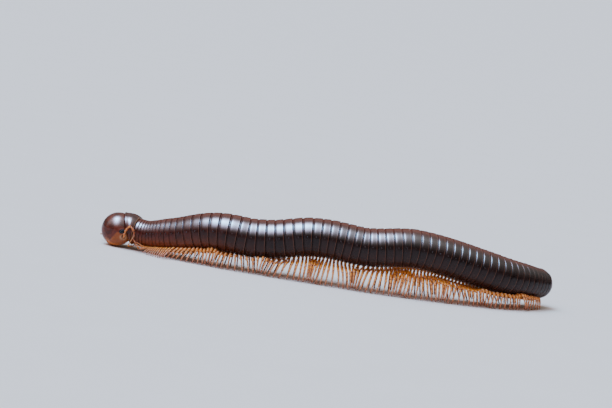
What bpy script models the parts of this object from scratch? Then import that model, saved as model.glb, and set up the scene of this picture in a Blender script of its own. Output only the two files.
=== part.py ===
"""A giant millipede at life size, standing at ease on level ground.

The head points along -X and the animal's left side faces -Y. The axis of the body is one curve: its plan is
the sum of three bends, and its height is the radius of each ring plus the clearance under the belly. Every
ring, leg, feeler and plate is placed from that curve and from the sizes below. All sizes are in metres and
all angles in degrees.
"""

import math

import bmesh
import bpy
import numpy as np

# Gap that neighbouring nodes keep where they meet.
GAP = 0.0003

# Rings of the trunk. Ring 1 is the collum, the collar plate behind the head.
LAST_RING = 61
LEGLESS_LAST_RINGS = 2
FIRST_RING_OF_TWO_PAIRS = 11
FIRST_RING_OF_LENGTH = {
    "trunk_1": 2,
    "trunk_2": 12,
    "trunk_3": 19,
    "trunk_4": 26,
    "trunk_5": 33,
    "trunk_6": 40,
    "trunk_7": 47,
    "trunk_8": 54,
}
RING_SIDES = 16
NECK_RADIUS = 0.0051
BODY_RADIUS = 0.00745
TAIL_RADIUS = 0.0060
NECK_PITCH = 0.00131
BODY_PITCH = 0.00302
EXTRA_PITCH = 0.00050
TAIL_PITCH = 0.00215
# Rings over which the pitch grows behind the neck, gains and loses its extra length, and falls at the tail.
RINGS_OF_LENGTHENING = (7.5, 14.0)
RINGS_OF_EXTRA = (15.0, 20.0)
RINGS_AFTER_EXTRA = (24.0, 30.0)
RINGS_OF_SHORTENING = (53.0, 61.0)
# Rings over which the trunk swells behind the neck and tapers before the tail.
RINGS_OF_SWELLING = (3.0, 19.0)
RINGS_OF_TAPER = (49.0, 62.0)
RING_STEP = 0.00038
LEAST_STEP_SHARE = 0.45
RING_FLARE = 0.00008
SHOULDER_SHARE = 0.34
REAR_EDGE_SHARE = 0.98
BELLY_FLAT = 0.05

# Bends of the body's axis in plan: where each starts and ends along the axis, and how far it turns.
FRONT_HEADING = -15.0
PLAN_BENDS = (
    (0.020, 0.052, 15.0),
    (0.078, 0.132, 18.0),
    (0.130, 0.176, 40.0),
)

# Clearance under the belly, from the neck to the tail, as steps that start and end along the axis.
NECK_CLEARANCE = 0.0026
CLEARANCE_STEPS = (
    (-0.004, 0.010, -0.0011),
    (0.008, 0.044, 0.0031),
    (0.018, 0.034, 0.0013),
    (0.036, 0.050, -0.0006),
    (0.046, 0.076, 0.0032),
    (0.056, 0.072, 0.0012),
    (0.078, 0.092, -0.0008),
    (0.090, 0.110, 0.0022),
    (0.108, 0.156, -0.0064),
    (0.150, 0.184, -0.0022),
)

# Collum.
COLLUM_LENGTH = 0.0037
COLLUM_FRONT_RADIUS = 0.0063
COLLUM_RADIUS = 0.0063
COLLUM_REAR_RADIUS = 0.0055
COLLUM_SIDES = 24
COLLUM_BELLY_FLAT = 0.03
# The collar's outline from front to rear: share of its length, and radius there.
COLLUM_PROFILE = (
    (0.00, 0.985 * COLLUM_FRONT_RADIUS),
    (0.22, 0.99 * COLLUM_RADIUS),
    (0.55, COLLUM_RADIUS),
    (0.90, COLLUM_REAR_RADIUS + 0.0003),
    (1.00, COLLUM_REAR_RADIUS),
)

# Head, in its own frame: depth runs forward along the face, and the head is nodded down by its pitch.
HEAD_PITCH = 24.0
HEAD_TURN = 14.0
HEAD_FRONT_DEPTH = 0.0066
HEAD_BACK_DEPTH = 0.0034
HEAD_TOP = 0.0067
HEAD_SIDE = 0.0060
HEAD_BOTTOM = 0.0062
HEAD_BACK_SHARE = 1.05
HEAD_AROUND = 36
HEAD_ALONG = 20
# Rows of the head's surface crowd where the mouth is: how strongly, and at which share of the way back.
ROW_CROWDING = 0.55
ROW_CROWD_AT = 0.54
# The mouth: angle of the lip's edge below the face's middle, drop of the underside behind it, half width.
LIP_ANGLE = -60.0
LIP_DROP = 0.00065
LIP_SOFTNESS = 7.0
MOUTH_HALF_WIDTH = 0.46
LIP_NOTCH = 0.00060
LIP_SWELL = 0.00030
# The cheeks: raised plates of the jaws, from below the feelers to the corners of the mouth.
CHEEK_RISE = 0.00050
CHEEK_FRONT = 0.50
CHEEK_TOP_ANGLE = -32.0
FACE_NARROWING = 0.22
NARROW_FROM_DEPTH = -0.35
# Soft widths of these forms' edges, as shares of the head's half width and as degrees of the face's turn.
EDGE_WIDTH = 0.10
EDGE_TURN = 10.0
SWELL_WIDTH = 0.24
NOTCH_WIDTH = 0.10
SWELL_ABOVE_LIP = (0.12, 0.08)

# Eyes: one triangular patch of small lenses on each side of the head.
EYE_LENGTH = 0.0021
EYE_HEIGHT = 0.0015
EYE_PROUD = 0.00025
EYE_POCKET = 0.00065
EYE_DIRECTION = (-0.27, 0.96, -0.01)
EYE_SIDES = 14
EYE_CORNERS = 0.13
EYE_DOME_SHARE = 0.66
EYE_EDGE_HEIGHT = 0.00012
EYE_TOP_RISE = 0.00006
POCKET_TOP = 0.0010

# Feelers: segments as shares of the whole length, and the radius of each at its thickest.
FEELER_LENGTH = 0.0132
FEELER_SHARES = (0.06, 0.20, 0.18, 0.16, 0.16, 0.16, 0.08)
FEELER_RADIUS = 0.00042
FEELER_SIDES = 6
# Turning points of each feeler from its socket: rise, way back along the body, way out from it.
LEFT_FEELER_TURNS = (
    (0.0027, 0.0009, 0.0013),
    (0.0050, 0.0027, 0.0022),
    (0.0040, 0.0044, 0.0026),
    (0.0024, 0.0049, 0.0024),
    (0.0006, 0.0043, 0.0020),
)
RIGHT_FEELER_TURNS = (
    (0.0004, -0.0014, 0.0017),
    (-0.0010, -0.0048, 0.0016),
    (-0.0028, -0.0084, 0.0004),
    (-0.0042, -0.0120, -0.0008),
)
FEELER_THIN = 0.76
FEELER_TIP = 0.60
SEGMENT_NECK = 0.04
SEGMENT_SWELL = 0.80
FEELER_RISE = 0.0011
ROUTE_STEPS = 24
# A direction that no feeler runs along, from which the corners of its rows are turned.
FEELER_HINT = np.array([0.2, 1.0, 0.1])
SOCKET_SIDES = 10
SOCKET_RADIUS = 0.00078
SOCKET_DEPTH = 0.0007
SOCKET_DIRECTION = (-0.30, 0.90, -0.34)

# Legs.
LEG_SIDES = 4
SINGLE_PAIR_AT = 0.50
PAIRS_AT = (0.28, 0.78)
UPPER_LEG = 0.0049
LOWER_LEG = 0.0066
LEG_ROOT_RADIUS = 0.00042
LEG_KNEE_RADIUS = 0.00038
NECK_LEG_THICKNESS = 0.72
FOOT_RADIUS = 0.00020
ROOT_SPREAD = 0.0007
ROOT_SINK = 0.0009
HIP_SPREAD = 0.0021
HIP_BELOW = 0.0011
KNEE_RISE = 0.6
KNEE_CLEARANCE = 0.0006
FOOT_SPREAD = 0.0050
FOOT_SPREAD_LOW = 0.0008
FOOT_SPREAD_STEP = 0.0003
FOOT_SPREAD_MOST = 0.0105
SPREAD_OF_SMALLEST = 0.45
LOW_BELLY = (0.003, 0.007)
LEG_BEND = 1.02
SWING = 0.0015
FOOT_LIFT = 0.0016
LIFT_FROM = 0.35
LEGS_PER_WAVE = 11
WAVE_START = 2.0
NECK_LEG_SCALE = 0.64
TAIL_LEG_SHORTER = 0.22
NECK_LEG_FAN = 0.0013
# The first legs are folded up beside the neck, each pair a little less than the one before.
NECK_LEG_RAISE = 0.0048
RINGS_OF_RAISE = (2.0, 8.0)
# Rings over which the legs grow from the neck's size, start to step, stop leaning forward, thicken and grow
# smaller again before the tail.
RINGS_OF_GROWTH = (4.0, 14.0)
RINGS_OF_LIFT = (8.0, 14.0)
RINGS_OF_FAN = (2.0, 12.0)
RINGS_OF_THICKENING = (7.0, 15.0)
RINGS_OF_SHRINKING = (52.0, 61.0)
COLLUM_TO_LEG = 0.0007
FOOT_JITTER = 0.00022

# Tail: the closed last ring with its pair of valves.
TAIL_LENGTH = 0.0046
TAIL_SIDES = 20
TAIL_START_SHARE = 0.955
TAIL_ROUNDNESS = 2.4
TAIL_LAST_SHARE = 0.985
TAIL_ROWS = (0.0, 0.28, 0.50, 0.68, 0.82, 0.93)

COLOURS = {
    "head": ((0.085, 0.020, 0.010), 0.25),
    "collum": ((0.060, 0.018, 0.012), 0.25),
    "eye": ((0.006, 0.007, 0.010), 0.20),
    "feeler": ((0.55, 0.20, 0.06), 0.40),
    "trunk": ((0.030, 0.011, 0.008), 0.24),
    "tail": ((0.040, 0.014, 0.009), 0.26),
}


def ease(value, start, end):
    """Rises smoothly from 0 at start to 1 at end."""
    share = np.clip((value - start) / (end - start), 0.0, 1.0)
    return share * share * (3.0 - 2.0 * share)


def ring_pitch(ring):
    """Length of a ring along the axis: short in the neck, longest before the middle, shorter at the tail."""
    pitch = NECK_PITCH + (BODY_PITCH - NECK_PITCH) * ease(ring, *RINGS_OF_LENGTHENING)
    pitch += EXTRA_PITCH * (ease(ring, *RINGS_OF_EXTRA) - ease(ring, *RINGS_AFTER_EXTRA))
    return pitch - (BODY_PITCH - TAIL_PITCH) * ease(ring, *RINGS_OF_SHORTENING)


def ring_radius(ring):
    """Radius of one ring: it swells behind the neck and tapers over the last rings."""
    radius = NECK_RADIUS + (BODY_RADIUS - NECK_RADIUS) * ease(ring, *RINGS_OF_SWELLING)
    return radius - (BODY_RADIUS - TAIL_RADIUS) * ease(ring, *RINGS_OF_TAPER)


def ring_start(ring):
    """Distance along the axis from the front of the collum to the front of a ring."""
    pitches = [ring_pitch(each) for each in range(2, int(ring))]
    return COLLUM_LENGTH + sum(pitches)


TRUNK_END = ring_start(LAST_RING + 1)
AXIS_STEP = 0.0002
AXIS_FROM = -0.012


def heading(along):
    """Direction of the axis in plan, in radians: the front heading plus the share made of each bend."""
    turned = sum(turn * ease(along, start, end) for start, end, turn in PLAN_BENDS)
    return np.radians(FRONT_HEADING + turned)


def radius_at(along):
    """Radius of the trunk at a distance along the axis."""
    starts = np.array([ring_start(ring) for ring in range(2, LAST_RING + 2)])
    radii = np.array([ring_radius(ring) for ring in range(2, LAST_RING + 2)])
    return np.interp(along, starts, radii)


def clearance(along):
    """Height of the belly above the ground."""
    steps = sum(rise * ease(along, start, end) for start, end, rise in CLEARANCE_STEPS)
    return NECK_CLEARANCE + steps


AXIS_AT = np.arange(AXIS_FROM, TRUNK_END + 0.012, AXIS_STEP)
AXIS_X = np.cumsum(np.cos(heading(AXIS_AT))) * AXIS_STEP
AXIS_Y = np.cumsum(np.sin(heading(AXIS_AT))) * AXIS_STEP
AXIS_Z = clearance(AXIS_AT) + radius_at(AXIS_AT)


def axis_point(along):
    """Point of the body's axis."""
    return np.array([np.interp(along, AXIS_AT, line) for line in (AXIS_X, AXIS_Y, AXIS_Z)])


def axis_frame(along):
    """Point of the axis, and the directions to the tail, to the animal's left and up, at right angles."""
    tailward = axis_point(along + 2 * AXIS_STEP) - axis_point(along - 2 * AXIS_STEP)
    tailward /= np.linalg.norm(tailward)
    left = np.cross(tailward, (0.0, 0.0, 1.0))
    left /= np.linalg.norm(left)
    return axis_point(along), tailward, left, np.cross(left, tailward)


def unit(vector):
    """The same direction at length 1."""
    return np.asarray(vector, float) / np.linalg.norm(vector)


def grid_faces(rows, columns):
    """Triangles between consecutive closed rows of points."""
    faces = []
    for row in range(rows - 1):
        for column in range(columns):
            following = (column + 1) % columns
            a = row * columns + column
            b = row * columns + following
            c = a + columns
            d = b + columns
            faces += [(a, b, d), (a, d, c)]
    return faces


def fan(row, columns, centre):
    """Triangles from one closed row of points to a centre point."""
    first = row * columns
    return [(first + column, first + (column + 1) % columns, centre) for column in range(columns)]


def closed_mesh(name, rows, start_point=None, end_point=None):
    """One closed mesh from closed rows of points, with each end a fan to a point or to the row's middle."""
    rows = np.asarray(rows, float)
    count, columns = rows.shape[:2]
    start = rows[0].mean(axis=0) if start_point is None else start_point
    end = rows[-1].mean(axis=0) if end_point is None else end_point
    points = np.vstack([rows.reshape(-1, 3), start, end])
    faces = grid_faces(count, columns)
    faces += fan(0, columns, count * columns)
    faces += fan(count - 1, columns, count * columns + 1)
    mesh = bpy.data.meshes.new(name)
    mesh.from_pydata(points.tolist(), [], faces)
    face_outwards(mesh)
    return mesh


def face_outwards(mesh):
    """Turns every face of a closed mesh outwards."""
    work = bmesh.new()
    work.from_mesh(mesh)
    bmesh.ops.recalc_face_normals(work, faces=work.faces)
    if work.calc_volume(signed=True) < 0:
        bmesh.ops.reverse_faces(work, faces=work.faces)
    work.to_mesh(mesh)
    work.free()


def material(name, kind):
    """A material with the kind's colour and roughness."""
    colour, roughness = COLOURS[kind]
    made = bpy.data.materials.new(name)
    made.use_nodes = True
    shader = made.node_tree.nodes["Principled BSDF"]
    shader.inputs["Base Color"].default_value = (*colour, 1.0)
    shader.inputs["Roughness"].default_value = roughness
    shader.inputs["Metallic"].default_value = 0.0
    return made


def add_object(name, mesh, collection=None):
    """An object in a collection, or in the scene."""
    made = bpy.data.objects.new(name, mesh)
    (collection or bpy.context.scene.collection).objects.link(made)
    return made


def add_node(name, mesh, kind):
    """A named part with its own material, shaded smooth between its sharp steps."""
    node = add_object(name, mesh)
    finish(node, kind)
    return node


def finish(node, kind):
    """Gives a part its material and smooth shading."""
    node.data.materials.clear()
    node.data.materials.append(material(node.name + "_finish", kind))
    node.data.shade_smooth()
    node.data.set_sharp_from_angle(angle=math.radians(35))


def boolean(node, pieces, operation, solver):
    """Joins closed meshes to a part, or cuts them from it, in one step, and removes them."""
    helpers = bpy.data.collections.new(node.name + "_pieces")
    bpy.context.scene.collection.children.link(helpers)
    for number, mesh in enumerate(pieces):
        add_object(f"{node.name}_piece_{number}", mesh, helpers)
    change = node.modifiers.new("join", "BOOLEAN")
    change.operation = operation
    change.solver = solver
    change.operand_type = "COLLECTION"
    change.collection = helpers
    graph = bpy.context.evaluated_depsgraph_get()
    joined = bpy.data.meshes.new_from_object(node.evaluated_get(graph))
    node.modifiers.clear()
    node.data = joined
    for helper in list(helpers.objects):
        bpy.data.objects.remove(helper)
    bpy.data.collections.remove(helpers)
    keep_largest(node.data)


def keep_largest(mesh):
    """Deletes all but the closed surface of the largest volume."""
    work = bmesh.new()
    work.from_mesh(mesh)
    bmesh.ops.triangulate(work, faces=work.faces)
    unseen = set(work.verts)
    surfaces = []
    while unseen:
        edge = [unseen.pop()]
        found = set(edge)
        while edge:
            vert = edge.pop()
            for link in vert.link_edges:
                other = link.other_vert(vert)
                if other in unseen:
                    unseen.remove(other)
                    found.add(other)
                    edge.append(other)
        surfaces.append(found)

    def volume(verts):
        faces = {face for vert in verts for face in vert.link_faces}
        corners = [[corner.co for corner in face.verts] for face in faces]
        return abs(sum(a.dot(b.cross(c)) for a, b, c in corners))

    surfaces.sort(key=volume, reverse=True)
    scraps = [vert for found in surfaces[1:] for vert in found]
    bmesh.ops.delete(work, geom=scraps, context="VERTS")
    work.to_mesh(mesh)
    work.free()


def tube(name, centres, radii, sides, side_hint, flat_end=False):
    """A tapered tube along a few points. Its last row is level with the ground where the end is flat."""
    centres = np.asarray(centres, float)
    rows = []
    for number, (centre, radius) in enumerate(zip(centres, radii)):
        before = centres[max(number - 1, 0)]
        after = centres[min(number + 1, len(centres) - 1)]
        direction = unit(after - before)
        if flat_end and number == len(centres) - 1:
            direction = np.array([0.0, 0.0, -1.0])
        across = unit(side_hint - np.dot(side_hint, direction) * direction)
        other = np.cross(direction, across)
        turns = (np.arange(sides) + 0.5) * 2 * np.pi / sides
        row = centre + radius * (np.outer(np.cos(turns), across) + np.outer(np.sin(turns), other))
        if flat_end and number == len(centres) - 1:
            row[:, 2] = centre[2]
        rows.append(row)
    return closed_mesh(name, rows)


def ring_row(along, radius, sides):
    """Closed row of points round the axis, a little flatter under the belly."""
    centre, _, left, up = axis_frame(along)
    turns = (np.arange(sides) + 0.5) * 2 * np.pi / sides
    below = np.clip(-np.sin(turns), 0.0, 1.0) ** 4
    reach = radius * (1.0 - BELLY_FLAT * below)
    return centre + np.outer(reach * np.cos(turns), left) + np.outer(reach * np.sin(turns), up)


def ring_rows(first, last):
    """Rows of a length of trunk. Each ring rises from a low neck over a shoulder to its flared rear edge."""
    rows = []
    for ring in range(first, last + 1):
        start = ring_start(ring) + (GAP if ring == first else 0.0)
        end = ring_start(ring + 1)
        radius = ring_radius(ring)
        shoulder = start + SHOULDER_SHARE * (end - start)
        length_share = min(1.0, (end - start) / BODY_PITCH)
        step = RING_STEP * (LEAST_STEP_SHARE + (1.0 - LEAST_STEP_SHARE) * length_share)
        rows.append(ring_row(start, radius - step, RING_SIDES))
        rows.append(ring_row(shoulder, radius, RING_SIDES))
        rear = start + REAR_EDGE_SHARE * (end - start)
        rows.append(ring_row(rear, radius + RING_FLARE, RING_SIDES))
    return rows


def leg_roots(ring):
    """Places of a ring's leg pairs along the axis: one pair on each crowded ring of the neck, then two."""
    start = ring_start(ring)
    pitch = ring_pitch(ring)
    if ring < FIRST_RING_OF_TWO_PAIRS:
        return [start + SINGLE_PAIR_AT * pitch]
    return [start + share * pitch for share in PAIRS_AT]


def knee_point(root, foot, outward, upper, lower):
    """Where two lengths from root and foot meet, on the outer and upper side of the line between them."""
    line = foot - root
    reach = np.linalg.norm(line)
    stretch = max(1.0, LEG_BEND * reach / (upper + lower))
    upper *= stretch
    lower *= stretch
    direction = line / reach
    share = (upper**2 - lower**2 + reach**2) / (2 * reach)
    height = math.sqrt(max(upper**2 - share**2, 0.0))
    pole = outward - np.dot(outward, direction) * direction
    return root + share * direction + height * unit(pole)


def from_axis(point, centre, tailward):
    """Distance of a point from the axis line through a centre."""
    offset = point - centre
    return np.linalg.norm(offset - np.dot(offset, tailward) * tailward)


def leg(ring, along, number, side, draw):
    """One leg: out of the belly beside the midline, over the knee and down to its foot.

    The foot is set further out until the knee and the foot are both clear of the trunk's side.
    """
    centre, tailward, left, up = axis_frame(along)
    lateral = left * side
    size = NECK_LEG_SCALE + (1.0 - NECK_LEG_SCALE) * ease(ring, *RINGS_OF_GROWTH)
    size -= TAIL_LEG_SHORTER * ease(ring, *RINGS_OF_SHRINKING)
    radius = radius_at(along)
    root = centre - up * (radius * (1.0 - BELLY_FLAT) - ROOT_SINK) + lateral * ROOT_SPREAD
    hip_out = HIP_SPREAD * size
    hip = centre - up * (math.sqrt(radius**2 - hip_out**2) + HIP_BELOW * size) + lateral * hip_out

    phase = 2 * math.pi * number / LEGS_PER_WAVE + WAVE_START
    lift = FOOT_LIFT * max(0.0, math.sin(phase) - LIFT_FROM) * ease(ring, *RINGS_OF_LIFT)
    lift += NECK_LEG_RAISE * (1.0 - ease(ring, *RINGS_OF_RAISE))
    room = ring_pitch(ring) / BODY_PITCH
    swing = SWING * room * math.cos(phase)
    fan_forward = NECK_LEG_FAN * (1.0 - ease(ring, *RINGS_OF_FAN))
    shift = swing - fan_forward + room * draw.uniform(-FOOT_JITTER, FOOT_JITTER)
    shift = max(shift, COLLUM_LENGTH + COLLUM_TO_LEG - along)
    low = 1.0 - ease(clearance(along), *LOW_BELLY)
    spread = (FOOT_SPREAD + FOOT_SPREAD_LOW * low) * (SPREAD_OF_SMALLEST + (1.0 - SPREAD_OF_SMALLEST) * size)
    pole = lateral + np.array([0.0, 0.0, KNEE_RISE])
    while True:
        foot = centre + lateral * spread + np.array([tailward[0], tailward[1], 0.0]) * shift
        foot[2] = lift
        knee = knee_point(hip, foot, pole, UPPER_LEG * size, LOWER_LEG * size)
        nearest = min(from_axis(knee, centre, tailward), from_axis(foot, centre, tailward))
        if nearest > radius + KNEE_CLEARANCE or spread > FOOT_SPREAD_MOST:
            break
        spread += FOOT_SPREAD_STEP
    thick = NECK_LEG_THICKNESS + (1.0 - NECK_LEG_THICKNESS) * ease(ring, *RINGS_OF_THICKENING)
    radii = [thick * each for each in (LEG_ROOT_RADIUS, LEG_ROOT_RADIUS, LEG_KNEE_RADIUS, FOOT_RADIUS)]
    name = f"leg_{ring}_{number}"
    return tube(name, [root, hip, knee, foot], radii, LEG_SIDES, tailward, flat_end=True)


def trunk_length(name, first, last, numbers, draw):
    """A length of trunk with its legs grown from the belly."""
    node = add_object(name, closed_mesh(name, ring_rows(first, last)))
    legs = []
    for ring in range(first, last + 1):
        if ring > LAST_RING - LEGLESS_LAST_RINGS:
            continue
        for along in leg_roots(ring):
            number = next(numbers)
            for side in (1, -1):
                legs.append(leg(ring, along, number, side, draw))
    # The folded legs of the neck cross one another, and only this solver joins those cleanly.
    boolean(node, legs, "UNION", "MANIFOLD")
    finish(node, "trunk")


def count_up():
    """Numbers 0, 1, 2 and so on."""
    number = 0
    while True:
        yield number
        number += 1


def head_frame():
    """Centre of the head, and its forward, left and up directions: turned left and nodded on the neck."""
    front, tailward, left, up = axis_frame(0.0)
    turn = math.radians(HEAD_TURN)
    behind = tailward * math.cos(turn) - left * math.sin(turn)
    left = np.cross(behind, up)
    pitch = math.radians(HEAD_PITCH)
    forward = unit(-behind * math.cos(pitch) - up * math.sin(pitch))
    upward = np.cross(forward, left)
    upward = upward if upward[2] > 0 else -upward
    return front + forward * (HEAD_BACK_DEPTH + GAP), forward, left, upward


def bump(depth, side, height, at, width):
    """Smooth hill of height 1 round a point, on arrays of positions."""
    far = (depth - at[0]) ** 2 + (side - at[1]) ** 2 + (height - at[2]) ** 2
    return np.exp(-far / width**2)


def head_point(polar, around):
    """Point of the head's surface in its own frame, from the angle off the face's middle and that round it.

    The surface is an egg with its own reach to the top, the sides and the bottom, narrower towards the upper
    lip. Behind the lip's edge the underside drops. A plate rises on each cheek, and the lip swells round a
    notch in its middle.
    """
    across = np.sin(polar)
    side = across * np.cos(around)
    height = across * np.sin(around)
    depth = np.cos(polar)
    reach = np.where(height > 0, HEAD_TOP, HEAD_BOTTOM)
    x = depth * np.where(depth > 0, HEAD_FRONT_DEPTH, HEAD_FRONT_DEPTH * HEAD_BACK_SHARE)
    low = np.clip(-height, 0.0, 1.0)
    narrowing = FACE_NARROWING * low**1.5 * np.clip(depth - NARROW_FROM_DEPTH, 0.0, 1.0)
    y = side * HEAD_SIDE * (1.0 - narrowing)
    z = height * reach
    mirrored = np.abs(side)
    angle = np.degrees(np.arctan2(height, depth))
    angle = np.minimum(angle, 90.0)
    under = ease(LIP_ANGLE - angle, 0.0, LIP_SOFTNESS)
    swell = -LIP_DROP * under * (1.0 - ease(mirrored, MOUTH_HALF_WIDTH, MOUTH_HALF_WIDTH + EDGE_WIDTH))
    below_top = ease(CHEEK_TOP_ANGLE - angle, 0.0, EDGE_TURN)
    swell += CHEEK_RISE * ease(mirrored, CHEEK_FRONT, CHEEK_FRONT + EDGE_WIDTH) * below_top
    lip = (math.cos(math.radians(LIP_ANGLE)), 0.0, math.sin(math.radians(LIP_ANGLE)))
    above = (lip[0] + SWELL_ABOVE_LIP[0], 0.0, lip[2] + SWELL_ABOVE_LIP[1])
    swell += LIP_SWELL * bump(depth, mirrored, height, above, SWELL_WIDTH) * (1.0 - under)
    swell -= LIP_NOTCH * bump(depth, mirrored, height, lip, NOTCH_WIDTH)
    outward = np.stack([depth, side, height], axis=-1)
    return np.stack([x, y, z], axis=-1) + swell[..., None] * outward


def in_head(points):
    """Points of the head's own frame, set in place."""
    centre, forward, left, up = head_frame()
    return centre + np.asarray(points) @ np.array([forward, left, up])


def head_place(direction, side):
    """Point and outward direction on the head's surface where a direction from its centre leaves it."""
    forward, across, up = direction
    polar = math.acos(forward / math.sqrt(forward**2 + across**2 + up**2))
    around = math.atan2(up, across * side)
    step = 0.02
    here = head_point(np.array(polar), np.array(around))
    along_polar = head_point(np.array(polar + step), np.array(around)) - here
    along_around = head_point(np.array(polar), np.array(around + step)) - here
    normal = unit(np.cross(along_polar, along_around))
    normal = normal if np.dot(normal, here) > 0 else -normal
    return here, normal


def eye_mesh(name, side, grow, bottom, top):
    """A patch with a rounded triangular outline, from a depth below the surface to a height over it."""
    here, normal = head_place(EYE_DIRECTION, side)
    back = unit(np.cross(normal, (0.0, 0.0, 1.0))) * side
    up = unit(np.cross(back, normal))
    up = up if up[2] > 0 else -up
    turns = np.arange(EYE_SIDES) * 2 * np.pi / EYE_SIDES
    lobes = 1.0 + EYE_CORNERS * np.cos(3 * turns)
    half_length = EYE_LENGTH / 2 + grow
    half_height = EYE_HEIGHT / 2 + grow
    outline = np.outer(lobes * np.cos(turns) * half_length, back)
    outline += np.outer(lobes * np.sin(turns) * half_height, up)
    rows = [here + outline + normal * bottom, here + outline + normal * (top - EYE_EDGE_HEIGHT)]
    rows.append(here + outline * EYE_DOME_SHARE + normal * top)
    rows = [in_head(row) for row in rows]
    return closed_mesh(name, rows, end_point=in_head(here + normal * (top + EYE_TOP_RISE)))


def feeler_route(side):
    """Points of a feeler's middle line, from its socket to its tip."""
    here, normal = head_place(SOCKET_DIRECTION, side)
    base = in_head(here - normal * (SOCKET_DEPTH - GAP))
    out = in_head(here + normal * FEELER_RISE)
    if side > 0:
        turns = LEFT_FEELER_TURNS
    else:
        turns = RIGHT_FEELER_TURNS
    _, tailward, left, _ = axis_frame(0.0)
    route = [base, out]
    for rise, back, outward in turns:
        route.append(in_head(here) + tailward * back + left * side * outward + np.array([0.0, 0.0, rise]))
    return np.array(route)


def smooth_route(points):
    """A smooth curve through a few points, by cubic pieces, and the distance run at each of its points."""
    points = np.asarray(points)
    padded = np.vstack([2 * points[0] - points[1], points, 2 * points[-1] - points[-2]])
    made = []
    for number in range(len(points) - 1):
        p0, p1, p2, p3 = padded[number : number + 4]
        t = np.linspace(0.0, 1.0, ROUTE_STEPS)[:, None]
        square = 2 * p0 - 5 * p1 + 4 * p2 - p3
        cube = 3 * p1 - p0 - 3 * p2 + p3
        made.append(0.5 * (2 * p1 + (p2 - p0) * t + square * t**2 + cube * t**3))
    line = np.vstack(made)
    lengths = np.concatenate([[0.0], np.cumsum(np.linalg.norm(np.diff(line, axis=0), axis=1))])
    return line, lengths


def feeler(name, side):
    """A feeler of seven segments, each a little thicker at its far end."""
    line, lengths = smooth_route(feeler_route(side))
    total = min(FEELER_LENGTH, lengths[-1])
    joints = np.concatenate([[0.0], np.cumsum(FEELER_SHARES)]) * total
    stations = []
    radii = []
    for start, end in zip(joints, joints[1:]):
        stations += [start + SEGMENT_NECK * (end - start), start + SEGMENT_SWELL * (end - start)]
        radii += [FEELER_THIN * FEELER_RADIUS, FEELER_RADIUS]
    radii[-1] = FEELER_TIP * FEELER_RADIUS
    centres = np.array([[np.interp(at, lengths, line[:, axis]) for axis in range(3)] for at in stations])
    add_node(name, tube(name, centres, radii, FEELER_SIDES, FEELER_HINT), "feeler")


def head():
    """The head, closed behind by a flat face, with pockets for the eyes and the feelers."""
    back = math.acos(-HEAD_BACK_DEPTH / (HEAD_FRONT_DEPTH * HEAD_BACK_SHARE))
    share = np.linspace(0.0, 1.0, HEAD_ALONG + 1)[1:, None]
    turn = 2 * np.pi
    crowding = np.sin(turn * (share - ROW_CROWD_AT)) + np.sin(turn * ROW_CROWD_AT)
    polar = back * (share - ROW_CROWDING * crowding / turn)
    around = (np.arange(HEAD_AROUND) * 2 * np.pi / HEAD_AROUND)[None, :]
    rows = head_point(polar + 0 * around, around + 0 * polar)
    rows[-1, :, 0] = -HEAD_BACK_DEPTH
    tip = head_point(np.array(0.0), np.array(0.0))
    mesh = closed_mesh("head", [in_head(row) for row in rows], start_point=in_head(tip))
    node = add_object("head", mesh)
    pockets = []
    for side in (1, -1):
        pockets.append(eye_mesh("eye_pocket", side, GAP, -EYE_POCKET, POCKET_TOP))
        here, normal = head_place(SOCKET_DIRECTION, side)
        ends = [in_head(here - normal * SOCKET_DEPTH), in_head(here + normal * POCKET_TOP)]
        pockets.append(tube("socket", ends, [SOCKET_RADIUS] * 2, SOCKET_SIDES, FEELER_HINT))
    boolean(node, pockets, "DIFFERENCE", "EXACT")
    finish(node, "head")


def collum():
    """The collar plate: a wedge between the nodding head and the neck, longest along the back."""
    centre, forward, left, up = head_frame()
    front_point = centre - forward * (HEAD_BACK_DEPTH + GAP)
    rows = []
    turns = (np.arange(COLLUM_SIDES) + 0.5) * 2 * np.pi / COLLUM_SIDES
    _, _, rear_left, rear_up = axis_frame(COLLUM_LENGTH)
    rear_point = axis_point(COLLUM_LENGTH)
    for share, radius in COLLUM_PROFILE:
        middle = front_point + share * (rear_point - front_point)
        across = unit((1 - share) * left + share * rear_left)
        upward = unit((1 - share) * up + share * rear_up)
        reach = radius * (1.0 - COLLUM_BELLY_FLAT * np.clip(-np.sin(turns), 0.0, 1.0))
        row = middle + np.outer(reach * np.cos(turns), across)
        rows.append(row + np.outer(reach * np.sin(turns), upward))
    add_node("collum", closed_mesh("collum", rows), "collum")


def tail():
    """The last ring, closed by two rounded valves. A row's radius falls as on a squared-off ellipse."""
    start = TRUNK_END + GAP
    turns = (np.arange(TAIL_SIDES) + 0.5) * 2 * np.pi / TAIL_SIDES
    radius = ring_radius(LAST_RING) * TAIL_START_SHARE
    rows = []
    for share in TAIL_ROWS:
        centre, _, left, up = axis_frame(start + share * TAIL_LENGTH)
        reach = radius * math.sqrt(1.0 - (share * TAIL_LAST_SHARE) ** TAIL_ROUNDNESS)
        rows.append(centre + np.outer(reach * np.cos(turns), left) + np.outer(reach * np.sin(turns), up))
    add_node("tail", closed_mesh("tail", rows, end_point=axis_point(start + TAIL_LENGTH)), "tail")


def set_on_ground():
    """Moves all parts together so that the middle of their box is above the origin."""
    nodes = [node for node in bpy.context.scene.objects if node.type == "MESH"]
    corners = np.array([vert.co for node in nodes for vert in node.data.vertices])
    middle = (corners.min(axis=0) + corners.max(axis=0)) / 2
    for node in nodes:
        for vert in node.data.vertices:
            vert.co.x -= middle[0]
            vert.co.y -= middle[1]


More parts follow.
